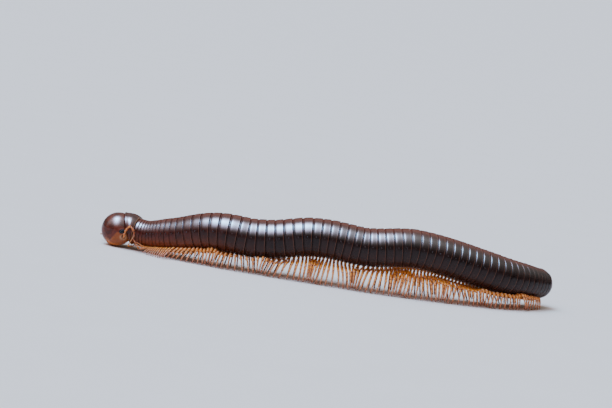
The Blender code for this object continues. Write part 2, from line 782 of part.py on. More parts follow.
def main():
    for old in list(bpy.data.objects):
        bpy.data.objects.remove(old)
    draw = np.random.default_rng(7)
    numbers = count_up()
    names = list(FIRST_RING_OF_LENGTH)
    for name, first in FIRST_RING_OF_LENGTH.items():
        following = names.index(name) + 1
        last = FIRST_RING_OF_LENGTH[names[following]] - 1 if following < len(names) else LAST_RING
        trunk_length(name, first, last, numbers, draw)
    head()
    collum()
    tail()
    for side, word in ((1, "left"), (-1, "right")):
        add_node(f"eye_{word}", eye_mesh(f"eye_{word}", side, 0.0, GAP - EYE_POCKET, EYE_PROUD), "eye")
        feeler(f"antenna_{word}", side)
    set_on_ground()


main()
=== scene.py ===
"""Looks of a life-size giant millipede standing on a pale studio floor.

The body's axis, its rings, legs, head, collar, feelers and tail are worked out from the same named sizes as
the solid model, in metres, and set in place from the tail's box in the frame. The head points along -X and
the animal's left side faces -Y and the camera.
"""

import math

import bpy
import numpy as np
from mathutils import Matrix, Vector


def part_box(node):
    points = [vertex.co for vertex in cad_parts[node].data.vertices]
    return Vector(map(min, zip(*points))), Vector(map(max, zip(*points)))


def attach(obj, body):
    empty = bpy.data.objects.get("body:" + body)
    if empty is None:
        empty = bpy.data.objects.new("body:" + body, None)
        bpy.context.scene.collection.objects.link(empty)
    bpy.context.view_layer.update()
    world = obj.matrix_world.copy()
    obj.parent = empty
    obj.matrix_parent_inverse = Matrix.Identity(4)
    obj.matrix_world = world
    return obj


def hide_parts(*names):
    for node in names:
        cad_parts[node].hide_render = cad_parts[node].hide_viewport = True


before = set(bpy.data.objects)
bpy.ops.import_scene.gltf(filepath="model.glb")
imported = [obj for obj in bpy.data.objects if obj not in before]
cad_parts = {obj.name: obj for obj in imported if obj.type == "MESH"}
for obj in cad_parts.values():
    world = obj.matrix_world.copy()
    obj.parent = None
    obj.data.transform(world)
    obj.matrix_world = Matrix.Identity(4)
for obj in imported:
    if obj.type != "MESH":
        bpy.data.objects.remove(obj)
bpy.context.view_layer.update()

# Rings, as in the solids. The rings named are the first and the last over which a size changes.
GAP = 0.0003
FIRST_RING = 2
LAST_RING = 61
LEGLESS_LAST_RINGS = 2
NECK_RADIUS = 0.0051
BODY_RADIUS = 0.00745
TAIL_RADIUS = 0.0060
NECK_PITCH = 0.00131
BODY_PITCH = 0.00302
EXTRA_PITCH = 0.00050
TAIL_PITCH = 0.00215
RINGS_OF_LENGTHENING = (7.5, 14.0)
RINGS_OF_EXTRA = (15.0, 20.0)
RINGS_AFTER_EXTRA = (24.0, 30.0)
RINGS_OF_SHORTENING = (53.0, 61.0)
RINGS_OF_SWELLING = (3.0, 19.0)
RINGS_OF_TAPER = (49.0, 62.0)
RING_STEP = 0.00038
LEAST_STEP_SHARE = 0.45
BELLY_FLAT = 0.05

# Bends of the axis in plan, and steps of the clearance under the belly: start, end and change.
FRONT_HEADING = -15.0
PLAN_BENDS = ((0.020, 0.052, 15.0), (0.078, 0.132, 18.0), (0.130, 0.176, 40.0))
NECK_CLEARANCE = 0.0026
CLEARANCE_STEPS = (
    (-0.004, 0.010, -0.0011),
    (0.008, 0.044, 0.0031),
    (0.018, 0.034, 0.0013),
    (0.036, 0.050, -0.0006),
    (0.046, 0.076, 0.0032),
    (0.056, 0.072, 0.0012),
    (0.078, 0.092, -0.0008),
    (0.090, 0.110, 0.0022),
    (0.108, 0.156, -0.0064),
    (0.150, 0.184, -0.0022),
)

# Collar plate behind the head.
COLLUM_LENGTH = 0.0037
COLLUM_RADIUS = 0.0063

# Head, with depth running forward along the face.
HEAD_PITCH = 24.0
HEAD_TURN = 14.0
HEAD_FRONT_DEPTH = 0.0066
HEAD_BACK_DEPTH = 0.0034
HEAD_TOP = 0.0067
HEAD_SIDE = 0.0060
HEAD_BOTTOM = 0.0062
HEAD_BACK_SHARE = 1.05
LIP_ANGLE = -60.0
LIP_DROP = 0.00065
LIP_SOFTNESS = 7.0
MOUTH_HALF_WIDTH = 0.46
LIP_NOTCH = 0.00060
LIP_SWELL = 0.00030
CHEEK_RISE = 0.00050
CHEEK_FRONT = 0.50
CHEEK_TOP_ANGLE = -32.0
FACE_NARROWING = 0.22
NARROW_FROM_DEPTH = -0.35
EDGE_WIDTH = 0.10
EDGE_TURN = 10.0
SWELL_WIDTH = 0.24
NOTCH_WIDTH = 0.10
SWELL_ABOVE_LIP = (0.12, 0.08)

# Eye patches and feelers.
EYE_LENGTH = 0.0021
EYE_HEIGHT = 0.0015
EYE_DIRECTION = (-0.27, 0.96, -0.01)
FEELER_LENGTH = 0.0132
FEELER_SHARES = (0.06, 0.20, 0.18, 0.16, 0.16, 0.16, 0.08)
FEELER_RADIUS = 0.00042
FEELER_RISE = 0.0011
LEFT_FEELER_TURNS = (
    (0.0027, 0.0009, 0.0013),
    (0.0050, 0.0027, 0.0022),
    (0.0040, 0.0044, 0.0026),
    (0.0024, 0.0049, 0.0024),
    (0.0006, 0.0043, 0.0020),
)
RIGHT_FEELER_TURNS = (
    (0.0004, -0.0014, 0.0017),
    (-0.0010, -0.0048, 0.0016),
    (-0.0028, -0.0084, 0.0004),
    (-0.0042, -0.0120, -0.0008),
)
SOCKET_RADIUS = 0.00078
SOCKET_DEPTH = 0.0007
SOCKET_DIRECTION = (-0.30, 0.90, -0.34)

# Legs.
FIRST_RING_OF_TWO_PAIRS = 5
FIRST_SOLID_RING_OF_TWO_PAIRS = 11
SINGLE_PAIR_AT = 0.50
PAIRS_AT = (0.28, 0.78)
UPPER_LEG = 0.0049
LOWER_LEG = 0.0066
LEG_ROOT_RADIUS = 0.00042
NECK_LEG_THICKNESS = 0.72
ROOT_SPREAD = 0.0007
ROOT_SINK = 0.0009
HIP_SPREAD = 0.0021
HIP_BELOW = 0.0011
KNEE_RISE = 0.6
KNEE_CLEARANCE = 0.0006
FOOT_SPREAD = 0.0050
FOOT_SPREAD_LOW = 0.0008
FOOT_SPREAD_STEP = 0.0003
FOOT_SPREAD_MOST = 0.0105
SPREAD_ROUNDS = 20
SPREAD_OF_SMALLEST = 0.45
LOW_BELLY = (0.003, 0.007)
LEG_BEND = 1.02
SWING = 0.0015
FOOT_LIFT = 0.0016
LIFT_FROM = 0.35
LEGS_PER_WAVE = 11
WAVE_START = 2.0
NECK_LEG_SCALE = 0.64
TAIL_LEG_SHORTER = 0.22
NECK_LEG_FAN = 0.0013
RINGS_OF_GROWTH = (4.0, 14.0)
RINGS_OF_LIFT = (8.0, 14.0)
RINGS_OF_FAN = (2.0, 12.0)
RINGS_OF_THICKENING = (7.0, 15.0)
RINGS_OF_SHRINKING = (52.0, 61.0)
NECK_LEG_RAISE = 0.0048
RINGS_OF_RAISE = (2.0, 8.0)
COLLUM_TO_LEG = 0.0007
FOOT_JITTER = 0.00022

# Tail.
TAIL_LENGTH = 0.0046
TAIL_SIDES = 20
TAIL_START_SHARE = 0.955
TAIL_ROUNDNESS = 2.4
TAIL_LAST_SHARE = 0.985
TAIL_ROWS = (0.0, 0.28, 0.50, 0.68, 0.82, 0.93)

# Camera, in the photograph's frame of 612 by 408.
CAMERA_LENS = 135.0
CAMERA_DISTANCE = 0.8775
CAMERA_ELEVATION = 7.0
CAMERA_ROLL = 9.4
CAMERA_TARGET_ALONG = 0.0773
CAMERA_TARGET_ACROSS = -0.0001
CAMERA_TARGET_HEIGHT = 0.0275


def ease(value, start, end):
    """Rises smoothly from 0 at start to 1 at end: s*s*(3 - 2s) of the clipped share s."""
    share = np.clip((np.asarray(value, float) - start) / (end - start), 0.0, 1.0)
    return share * share * (3.0 - 2.0 * share)


def between(first, second, share):
    """The first value at share 0 and the second at share 1."""
    return first + (second - first) * share


def unit(vectors):
    """The same directions at length 1."""
    vectors = np.asarray(vectors, float)
    return vectors / np.linalg.norm(vectors, axis=-1, keepdims=True)


def dot(a, b):
    """Dot product along the last direction, kept as a column."""
    return np.sum(a * b, axis=-1, keepdims=True)


def corner_angles(count, offset=0.0, start=0.0):
    """Evenly spaced angles of a full turn, moved on by an offset in steps and by a start in radians."""
    return (np.arange(count) + offset) * 2 * np.pi / count + start


# Axis of the body

RINGS = np.arange(FIRST_RING, LAST_RING + 2)
RING_PITCHES = between(NECK_PITCH, BODY_PITCH, ease(RINGS, *RINGS_OF_LENGTHENING))
RING_PITCHES += EXTRA_PITCH * (ease(RINGS, *RINGS_OF_EXTRA) - ease(RINGS, *RINGS_AFTER_EXTRA))
RING_PITCHES -= (BODY_PITCH - TAIL_PITCH) * ease(RINGS, *RINGS_OF_SHORTENING)
RING_RADII = between(NECK_RADIUS, BODY_RADIUS, ease(RINGS, *RINGS_OF_SWELLING))
RING_RADII -= (BODY_RADIUS - TAIL_RADIUS) * ease(RINGS, *RINGS_OF_TAPER)
RING_STARTS = COLLUM_LENGTH + np.concatenate([[0.0], np.cumsum(RING_PITCHES[:-1])])
TRUNK_END = RING_STARTS[-1]
TAIL_REACH = RING_RADII[-2] * TAIL_START_SHARE
AXIS_STEP = 0.0002
AXIS_BEYOND = 0.012
AXIS_AT = np.arange(-AXIS_BEYOND, TRUNK_END + AXIS_BEYOND, AXIS_STEP)


def on_ring(rings, share):
    """Distances along the axis at a share of the rings' pitches."""
    return RING_STARTS[rings - FIRST_RING] + share * RING_PITCHES[rings - FIRST_RING]


def clearance(along):
    """Height of the belly above the floor: the neck's plus the share made of each step."""
    along = np.asarray(along, float)
    return NECK_CLEARANCE + sum(rise * ease(along, start, end) for start, end, rise in CLEARANCE_STEPS)


def radius_at(along):
    """Radius of the trunk, in straight lines between the starts of the rings."""
    return np.interp(along, RING_STARTS, RING_RADII)


def axis_line():
    """Points of the axis: the running sum of its heading in plan, at belly clearance plus radius."""
    turned = sum(turn * ease(AXIS_AT, start, end) for start, end, turn in PLAN_BENDS)
    heading = np.radians(FRONT_HEADING + turned)
    plan = np.cumsum(np.stack([np.cos(heading), np.sin(heading)], axis=1), axis=0) * AXIS_STEP
    return np.column_stack([plan, clearance(AXIS_AT) + radius_at(AXIS_AT)])


AXIS = axis_line()


def on_line(at, known, line):
    """Points at distances along a line, in straight stretches between its known ones."""
    return np.stack([np.interp(at, known, line[:, k]) for k in range(3)], axis=-1)


def axis_frames(along):
    """Points of the axis and the directions to the tail, to the animal's left and up, at right angles."""
    along = np.asarray(along, float)
    behind, ahead = (on_line(along + move, AXIS_AT, AXIS) for move in (2 * AXIS_STEP, -2 * AXIS_STEP))
    tailward = unit(behind - ahead)
    left = unit(np.cross(tailward, (0.0, 0.0, 1.0)))
    return on_line(along, AXIS_AT, AXIS), tailward, left, np.cross(left, tailward)


def rows_about(centre, left, up, reach, turns):
    """Rows of points round centres: each reach times the cosine of its turn to the left and the sine up."""
    rows = centre[:, None] + (reach * np.cos(turns))[..., None] * left[:, None]
    return rows + (reach * np.sin(turns))[..., None] * up[:, None]


def tail_reach(share):
    """Radius of the tail at shares of its length: full times the root of 1 less the share to a power."""
    return TAIL_REACH * np.sqrt(1.0 - (np.maximum(share, 0.0) * TAIL_LAST_SHARE) ** TAIL_ROUNDNESS)


def place_axis():
    """Moves the axis so that the tail's own rows lie where the frame's tail is, and returns the move."""
    share = np.array(TAIL_ROWS)
    centre, _, left, up = axis_frames(TRUNK_END + GAP + share * TAIL_LENGTH)
    turns = corner_angles(TAIL_SIDES, offset=0.5)
    rows = rows_about(centre, left, up, tail_reach(share)[:, None], turns).reshape(-1, 3)
    low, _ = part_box("tail")
    move = np.array([low.x - rows[:, 0].min(), low.y - rows[:, 1].min(), 0.0])
    AXIS[:] += move
    return move


SHIFT = place_axis()


# Meshes from arrays

def put_mesh(name, points, faces, corner_uv=None):
    """A mesh object from points and faces, shaded smooth, with a UV pair for each corner of each face."""
    mesh = bpy.data.meshes.new(name)
    mesh.from_pydata(points.tolist(), [], [row for block in faces for row in block.tolist()])
    if corner_uv is not None:
        pairs = np.concatenate([block.reshape(-1) for block in corner_uv])
        mesh.uv_layers.new(name="Lie").data.foreach_set("uv", pairs.astype(np.float32))
    mesh.shade_smooth()
    piece = bpy.data.objects.new(name, mesh)
    bpy.context.scene.collection.objects.link(piece)
    return piece


def closed_tubes(rows, along):
    """Points, faces and corner UVs of many closed tubes at once.

    rows holds each tube's rows of points, as (tubes, rows, columns, 3). Quads join neighbouring rows, and a
    fan round a middle point closes each end. U is the row's value in along, and V the share of the way
    round.
    """
    tubes, length, columns = rows.shape[:3]
    along = np.broadcast_to(along, (tubes, length))
    ends = np.stack([rows[:, 0].mean(axis=1), rows[:, -1].mean(axis=1)], axis=1)
    points = np.concatenate([rows.reshape(tubes, -1, 3), ends], axis=1)
    row, column = np.meshgrid(np.arange(length - 1), np.arange(columns), indexing="ij")
    a = row * columns + column
    b = row * columns + (column + 1) % columns
    quads = np.stack([a, b, b + columns, a + columns], axis=-1).reshape(-1, 4)
    around = np.arange(columns)
    after = (around + 1) % columns
    last = (length - 1) * columns
    front = np.stack([after, around, np.full(columns, length * columns)], axis=-1)
    back = np.stack([last + around, last + after, np.full(columns, length * columns + 1)], axis=-1)
    fans = np.concatenate([front, back])
    first = points[0]
    corners = first[np.concatenate([quads[:, :3], quads[:, [0, 2, 3]], fans])] - first[0]
    inside_out = np.linalg.det(corners).sum() < 0
    offsets = np.arange(tubes)[:, None, None] * points.shape[1]

    u_near = np.broadcast_to(along[:, :-1, None], (tubes, length - 1, columns))
    u_far = np.broadcast_to(along[:, 1:, None], u_near.shape)
    v_near = np.broadcast_to(column / columns, u_near.shape)
    v_far = v_near + 1.0 / columns
    quad_uv = np.stack([u_near, v_near, u_near, v_far, u_far, v_far, u_far, v_near], axis=-1)
    quad_uv = quad_uv.reshape(tubes, -1, 4, 2)
    here = np.broadcast_to(around / columns, (tubes, columns))
    next_ = here + 1.0 / columns
    fan_uv = []
    for end, (one, two) in ((0, (next_, here)), (-1, (here, next_))):
        u = np.broadcast_to(along[:, end, None], (tubes, columns))
        fan_uv.append(np.stack([u, one, u, two, u, here + 0.5 / columns], axis=-1))
    fan_uv = np.concatenate(fan_uv, axis=1).reshape(tubes, -1, 3, 2)
    if inside_out:
        quads, fans = quads[:, ::-1], fans[:, ::-1]
        quad_uv, fan_uv = quad_uv[:, :, ::-1], fan_uv[:, :, ::-1]
    faces = [(quads[None] + offsets).reshape(-1, 4), (fans[None] + offsets).reshape(-1, 3)]
    return points.reshape(-1, 3), faces, [quad_uv, fan_uv]


def join(parts):
    """Several sets of points, faces and corner UVs as one, with the face numbers moved on."""
    starts = np.cumsum([0] + [len(points) for points, _, _ in parts])
    points = np.concatenate([points for points, _, _ in parts])
    faces = [np.concatenate([part[1][k] + start for part, start in zip(parts, starts)]) for k in (0, 1)]
    corner_uv = [np.concatenate([part[2][k].reshape(-1, 2) for part in parts]) for k in (0, 1)]
    return points, faces, corner_uv


def rows_round(centres, directions, hints, radii, sides):
    """Rows of points round a line: at each centre a ring of the radius, square to the direction.

    The arrays may hold many tubes: (..., rows, 3) for centres and directions and (..., rows) for radii. The
    hint gives where the first corner points.
    """
    across = unit(hints - dot(hints, directions) * directions)
    other = np.cross(directions, across)
    turns = corner_angles(sides, offset=0.5)
    wide = np.cos(turns)[:, None] * across[..., None, :]
    high = np.sin(turns)[:, None] * other[..., None, :]
    return centres[..., None, :] + radii[..., None, None] * (wide + high)


def above_floor(points, least):
    """The same points, with none lower than the least height."""
    return np.concatenate([points[..., :2], np.maximum(points[..., 2:], least)], axis=-1)


def finish(piece, slot, material, *nodes):
    """Gives a piece its material and body, and says which nodes of the solids it stands for. The slot is
    not used.
    """
    piece.data.materials.append(material)
    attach(piece, "root")
    if nodes:
        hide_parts(*nodes)
    return piece


def put_tubes(name, rows, along, slot, material, *nodes):
    """A finished piece made of closed tubes."""
    return finish(put_mesh(name, *closed_tubes(rows, along)), slot, material, *nodes)


# Shader helpers

def feed(tree, socket, value):
    """Links a value to a socket where it comes from a node, and sets it otherwise.

    Colours are given as three numbers.
    """
    if isinstance(value, bpy.types.NodeSocket):
        tree.links.new(value, socket)
    elif socket.type == "RGBA":
        socket.default_value = (*value, 1.0)
    else:
        socket.default_value = value


def node(tree, kind, inputs=None, **settings):
    """A shader node with its settings, and its inputs either linked or set."""
    made = tree.nodes.new(kind)
    for key, value in settings.items():
        setattr(made, key, value)
    for key, value in (inputs or {}).items():
        feed(tree, made.inputs[key], value)
    return made


def maths(tree, operation, first, second=0.0, third=0.0):
    """The result of a Math node."""
    return node(tree, "ShaderNodeMath", {0: first, 1: second, 2: third}, operation=operation).outputs[0]


def times(tree, first, *others):
    """The product of several values."""
    for other in others:
        first = maths(tree, "MULTIPLY", first, other)
    return first


def less(tree, value, share):
    """1 less a share of a value."""
    return maths(tree, "MULTIPLY_ADD", value, -share, 1.0)


def off_from(tree, value, middle):
    """How far a value lies from a middle, either way."""
    return maths(tree, "ABSOLUTE", maths(tree, "SUBTRACT", value, middle))


def stretch(tree, value, start, end, low=0.0, high=1.0):
    """A value eased from low at start to high at end."""
    inputs = {"Value": value, "From Min": start, "From Max": end, "To Min": low, "To Max": high}
    return node(tree, "ShaderNodeMapRange", inputs, interpolation_type="SMOOTHSTEP").outputs["Result"]


def blend(tree, share, first, second, way="MIX"):
    """Two colours mixed by a share."""
    inputs = {0: share, 6: first, 7: second}
    return node(tree, "ShaderNodeMix", inputs, data_type="RGBA", blend_type=way).outputs[2]


def noise(tree, scale, detail=2.0):
    """Noise from 0 to 1 in the piece's own space."""
    place = node(tree, "ShaderNodeTexCoord").outputs["Object"]
    inputs = {"Vector": place, "Scale": scale, "Detail": detail}
    return node(tree, "ShaderNodeTexNoise", inputs).outputs["Fac"]


def parts_of(tree, vector):
    """The three numbers of a vector."""
    return node(tree, "ShaderNodeSeparateXYZ", {0: vector}).outputs


def lie_of(tree):
    """The UV pair of the pieces: U along and V round."""
    return parts_of(tree, node(tree, "ShaderNodeUVMap", uv_map="Lie").outputs[0])


def new_group(name, inputs, outputs):
    """An empty shader node group with named inputs and outputs, and its two end nodes."""
    tree = bpy.data.node_groups.new(name, "ShaderNodeTree")
    for label, kind, value in inputs:
        tree.interface.new_socket(label, in_out="INPUT", socket_type=kind).default_value = value
    for label, kind in outputs:
        tree.interface.new_socket(label, in_out="OUTPUT", socket_type=kind)
    return tree, tree.nodes.new("NodeGroupInput").outputs, tree.nodes.new("NodeGroupOutput").inputs


def mottle_group():
    """Cuticle's uneven tone: broad clouds between two colours, fine specks, and pits for the bump."""
    tree, given, out = new_group(
        "cuticle_mottle",
        (
            ("Light", "NodeSocketColor", (0.1, 0.03, 0.02, 1.0)),
            ("Dark", "NodeSocketColor", (0.02, 0.006, 0.004, 1.0)),
            ("Cloud Size", "NodeSocketFloat", 300.0),
            ("Speck Size", "NodeSocketFloat", 4000.0),
        ),
        (("Colour", "NodeSocketColor"), ("Pits", "NodeSocketFloat"), ("Clouds", "NodeSocketFloat")),
    )
    cloud = stretch(tree, noise(tree, given["Cloud Size"], 4.0), 0.35, 0.65)
    speck = stretch(tree, noise(tree, given["Speck Size"]), 0.40, 0.70)
    mixed = blend(tree, cloud, given["Dark"], given["Light"])
    feed(tree, out["Colour"], blend(tree, times(tree, speck, 0.25), mixed, given["Dark"]))
    feed(tree, out["Pits"], speck)
    feed(tree, out["Clouds"], cloud)
    return tree


def lines_group():
    """Fine parallel lines: 1 in the middle of each groove and 0 between, from a value that counts them."""
    tree, given, out = new_group(
        "fine_lines",
        (("Count", "NodeSocketFloat", 0.0), ("Width", "NodeSocketFloat", 0.3)),
        (("Groove", "NodeSocketFloat"),),
    )
    middle = off_from(tree, maths(tree, "FRACT", given["Count"]), 0.5)
    feed(tree, out["Groove"], stretch(tree, middle, 0.0, given["Width"], 1.0, 0.0))
    return tree


MOTTLE = mottle_group()
LINES = lines_group()


def grouped(tree, group, inputs):
    """A node group placed in a material."""
    return node(tree, "ShaderNodeGroup", inputs, node_tree=group).outputs


def mottle(tree, light, dark, size=300.0):
    """The uneven tone between two colours, with clouds of a size."""
    return grouped(tree, MOTTLE, {"Light": light, "Dark": dark, "Cloud Size": size})


def fine_lines(tree, value, count, width):
    """Fine lines, so many to each step of 1 in a value."""
    return grouped(tree, LINES, {"Count": times(tree, value, count), "Width": width})["Groove"]


def new_material(name, **constants):
    """A material and its Principled shader, with constants set on the shader's own sockets."""
    made = bpy.data.materials.new(name)
    made.use_nodes = True
    shader = made.node_tree.nodes["Principled BSDF"]
    feed_shader(made.node_tree, shader, **constants)
    return made, made.node_tree, shader


def feed_shader(tree, shader, **values):
    """Feeds the shader's sockets, whose names are given with underscores for spaces."""
    for key, value in values.items():
        feed(tree, shader.inputs[key.replace("_", " ")], value)


def add_bump(tree, shader, height, distance):
    """Links a height to the shader's normal through a Bump node."""
    made = node(tree, "ShaderNodeBump", {"Height": height, "Distance": distance, "Strength": 1.0})
    feed_shader(tree, shader, Normal=made.outputs["Normal"])


def cloudy(tree, tone, depth, least):
    """A value that rises from the least with the tone's clouds, for the roughness."""
    return maths(tree, "ADD", times(tree, tone["Clouds"], depth), least)


# Materials

# Masks stored on the head, collar and tail: an amber tone, a paler tone, and painted shade in grooves, pits
# and gaps.
MASKS = ("amber", "pale", "seam")
BELLY_TONE = (0.24, 0.095, 0.040)
FLANK_TONE = (0.23, 0.044, 0.008)
# Reddish strip along the back: the cuticle's own reddish tone, brightened as painted warm light on the top.
RED_BACK_AND_SHEEN_TONE = (0.170, 0.024, 0.008)
HIND_EDGE_TONE = (0.24, 0.080, 0.040)
# Painted shade in the crevices where the rings meet and in the suture grooves.
CREASE_SHADE_TONE = (0.006, 0.0025, 0.002)
RING_DRAW_TONE = (0.022, 0.0050, 0.0030)
HOOPS_PER_RING = 26.0
FLANK_LINES = 190.0


def trunk_material():
    """Glossy ring cuticle: maroon in the neck, near black behind, a paler hind edge and fine lines, with a
    reddish strip along the back that is partly painted warm light, and painted shade in the ring joints and
    suture grooves.

    U counts rings. V runs round the body: 0 and 1 lie under the belly and 0.5 on the back, so belly, the
    distance from 0.5, is 0 on the back and 0.5 below.
    """
    made, tree, shader = new_material(
        "trunk_cuticle_finish", Coat_Roughness=0.19, Coat_IOR=2.4, IOR=1.4, Specular_IOR_Level=0.25
    )
    ring, round_, _ = lie_of(tree)
    share = maths(tree, "FRACT", ring)
    belly = off_from(tree, round_, 0.5)
    neck = stretch(tree, ring, 7.0, 24.0, 1.0, 0.0)
    warm = mottle(tree, (0.085, 0.012, 0.006), (0.038, 0.005, 0.003))
    dark = mottle(tree, (0.013, 0.0032, 0.0022), (0.005, 0.0015, 0.0012))
    tone = blend(tree, neck, dark["Colour"], warm["Colour"])
    draw = node(tree, "ShaderNodeTexWhiteNoise", {"W": maths(tree, "FLOOR", ring)}, noise_dimensions="1D")
    tone = blend(tree, times(tree, draw.outputs["Value"], 0.35), tone, RING_DRAW_TONE)
    flank = times(tree, stretch(tree, belly, 0.24, 0.36), maths(tree, "MULTIPLY_ADD", neck, 0.60, 0.06))
    tone = blend(tree, flank, tone, FLANK_TONE)
    tone = blend(tree, stretch(tree, belly, 0.430, 0.47), tone, BELLY_TONE)
    # Painted warm light: the top of the back is laid a lighter reddish brown.
    tone = blend(tree, times(tree, stretch(tree, belly, 0.13, 0.02), 0.8), tone, RED_BACK_AND_SHEEN_TONE)
    edge = times(tree, stretch(tree, share, 0.90, 0.94), stretch(tree, share, 0.975, 0.955))
    tone = blend(tree, times(tree, edge, 0.40), tone, HIND_EDGE_TONE)
    # Painted shade: dark lines in the suture groove and in the crevices where one ring meets the next.
    seam = times(tree, stretch(tree, share, 0.130, 0.145), stretch(tree, share, 0.195, 0.175))
    ends = maths(tree, "ADD", stretch(tree, share, 0.975, 0.990), stretch(tree, share, 0.06, 0.02))
    crease_shade = maths(tree, "MAXIMUM", times(tree, seam, 0.8), times(tree, ends, 0.9))
    tone = blend(tree, crease_shade, tone, CREASE_SHADE_TONE)

    fore = stretch(tree, share, 0.17, 0.14)
    rough = maths(tree, "MULTIPLY_ADD", fore, 0.12, cloudy(tree, dark, 0.08, 0.24))
    hoops = fine_lines(tree, ring, HOOPS_PER_RING, 0.35)
    gloss = stretch(tree, belly, 0.120, 0.250, 1.0, 0.03)
    gloss = times(tree, gloss, less(tree, hoops, 0.22), less(tree, fore, 0.65), less(tree, crease_shade, 0.8))
    feed_shader(tree, shader, Base_Color=tone, Roughness=rough, Coat_Weight=gloss)

    hoops = times(tree, hoops, maths(tree, "MULTIPLY_ADD", fore, 0.8, 0.2))
    on_flank = times(tree, stretch(tree, belly, 0.28, 0.34), stretch(tree, share, 0.20, 0.26))
    grooves = times(tree, fine_lines(tree, round_, FLANK_LINES, 0.22), on_flank)
    height = maths(tree, "MULTIPLY_ADD", hoops, -0.35, times(tree, grooves, -1.0))
    height = maths(tree, "MULTIPLY_ADD", dark["Pits"], -0.12, height)
    add_bump(tree, shader, height, 0.00003)
    return made


def shell_material(name, light, dark, amber, roughness):
    """Glossy cuticle of the head, collar and tail, that turns amber where the piece's own mask says.

    The pale mask sets a paler tone, and the groove shade mask a darker one, which is painted shade in
    grooves, pits and gaps. Each mask dulls the clear coat, which also fades where the surface faces down.
    """
    made, tree, shader = new_material(
        name, Coat_Roughness=0.16, Coat_IOR=2.2, IOR=1.4, Specular_IOR_Level=0.3
    )
    masks = [node(tree, "ShaderNodeAttribute", attribute_name=mask).outputs["Fac"] for mask in MASKS]
    tone = mottle(tree, light, dark, 420.0)
    mixed = tone["Colour"]
    # The third colour is painted shade, laid where the groove shade mask says.
    for mask, shade in zip(masks, (amber, (0.46, 0.24, 0.12), (0.018, 0.005, 0.003))):
        mixed = blend(tree, mask, mixed, shade)
    dulled = maths(tree, "MAXIMUM", maths(tree, "MAXIMUM", masks[0], masks[1]), masks[2])
    level = parts_of(tree, node(tree, "ShaderNodeNewGeometry").outputs["Normal"])[2]
    gloss = times(tree, less(tree, dulled, 0.70), stretch(tree, level, 0.0, 0.45, 0.04, 1.0))
    rough = cloudy(tree, tone, 0.08, roughness)
    feed_shader(tree, shader, Base_Color=mixed, Roughness=rough, Coat_Weight=gloss)
    add_bump(tree, shader, times(tree, tone["Pits"], -1.0), 0.000012)
    return made


def limb_material(name, stops, joint_colour, joints):
    """Satin cuticle of legs and feelers: colours along the limb, dark rims at its joints, fine specks."""
    made, tree, shader = new_material(
        name, Specular_IOR_Level=0.5, Subsurface_Weight=0.12, Subsurface_Radius=(0.0008, 0.0004, 0.0002)
    )
    along = lie_of(tree)[0]
    ramp = node(tree, "ShaderNodeValToRGB", {"Fac": along})
    while len(ramp.color_ramp.elements) < len(stops):
        ramp.color_ramp.elements.new(0.5)
    for element, (position, shade) in zip(ramp.color_ramp.elements, stops):
        element.position = position
        element.color = (*shade, 1.0)
    tone = mottle(tree, (1.0, 1.0, 1.0), (0.72, 0.60, 0.50), 900.0)
    mixed = blend(tree, 1.0, ramp.outputs["Color"], tone["Colour"], "MULTIPLY")
    rims = 0.0
    for joint in joints:
        rim = stretch(tree, off_from(tree, along, joint), 0.006, 0.016, 1.0, 0.0)
        rims = maths(tree, "MAXIMUM", rim, rims)
    mixed = blend(tree, times(tree, rims, 0.75), mixed, joint_colour)
    feed_shader(tree, shader, Base_Color=mixed, Roughness=cloudy(tree, tone, 0.10, 0.28))
    add_bump(tree, shader, times(tree, tone["Pits"], -1.0), 0.00001)
    return made


def plain_cuticle(name, light, dark, roughness):
    """Mottled cuticle of one tone, for claws, lenses, bristles, belly plates and pores."""
    made, tree, shader = new_material(name, IOR=1.5)
    tone = mottle(tree, light, dark, 900.0)
    feed_shader(tree, shader, Base_Color=tone["Colour"], Roughness=cloudy(tree, tone, 0.08, roughness))
    add_bump(tree, shader, tone["Pits"], 0.000006)
    return made


# Shares of a leg's length at which its pieces join: coxa, prefemur, femur, postfemur, tibia, tarsus.
LEG_PIECES = np.array([0.0, 0.09, 0.25, 0.47, 0.60, 0.74, 1.0])
FEELER_JOINTS = np.concatenate([[0.0], np.cumsum(FEELER_SHARES)])
LEG_STOPS = (
    (0.00, (0.60, 0.17, 0.020)),
    (0.25, (0.82, 0.26, 0.025)),
    (0.48, (0.84, 0.30, 0.050)),
    (0.66, (0.80, 0.32, 0.105)),
    (0.84, (0.72, 0.27, 0.110)),
    (1.00, (0.28, 0.06, 0.025)),
)
FEELER_STOPS = (
    (0.00, (0.46, 0.12, 0.018)),
    (0.30, (0.70, 0.20, 0.026)),
    (0.62, (0.60, 0.16, 0.024)),
    (0.86, (0.26, 0.06, 0.020)),
    # Painted highlight: the tip is laid pale.
    (1.00, (0.56, 0.30, 0.15)),
)

TRUNK_FINISH = trunk_material()
HEAD_FINISH = shell_material(
    "head_cuticle_finish", (0.120, 0.016, 0.006), (0.050, 0.007, 0.003), (0.50, 0.125, 0.018), 0.24
)
COLLAR_FINISH = shell_material(
    "collar_cuticle_finish", (0.085, 0.013, 0.007), (0.035, 0.006, 0.004), (0.32, 0.085, 0.020), 0.22
)
LEG_FINISH = limb_material("leg_cuticle_finish", LEG_STOPS, (0.22, 0.06, 0.02), LEG_PIECES[1:-1])
FEELER_FINISH = limb_material(
    "feeler_cuticle_finish", FEELER_STOPS, (0.16, 0.04, 0.02), FEELER_JOINTS[1:-1]
)
LENS_FINISH = plain_cuticle("eye_lens_finish", (0.010, 0.010, 0.014), (0.003, 0.003, 0.004), 0.08)
CLAW_FINISH = plain_cuticle("claw_finish", (0.16, 0.05, 0.025), (0.06, 0.018, 0.010), 0.25)
BRISTLE_FINISH = plain_cuticle("bristle_finish", (0.55, 0.34, 0.16), (0.35, 0.18, 0.08), 0.35)
PORE_FINISH = plain_cuticle("pore_finish", (0.035, 0.010, 0.007), (0.008, 0.003, 0.002), 0.25)
PLATE_FINISH = plain_cuticle("belly_plate_finish", (0.42, 0.20, 0.09), (0.26, 0.10, 0.045), 0.35)


# Trunk

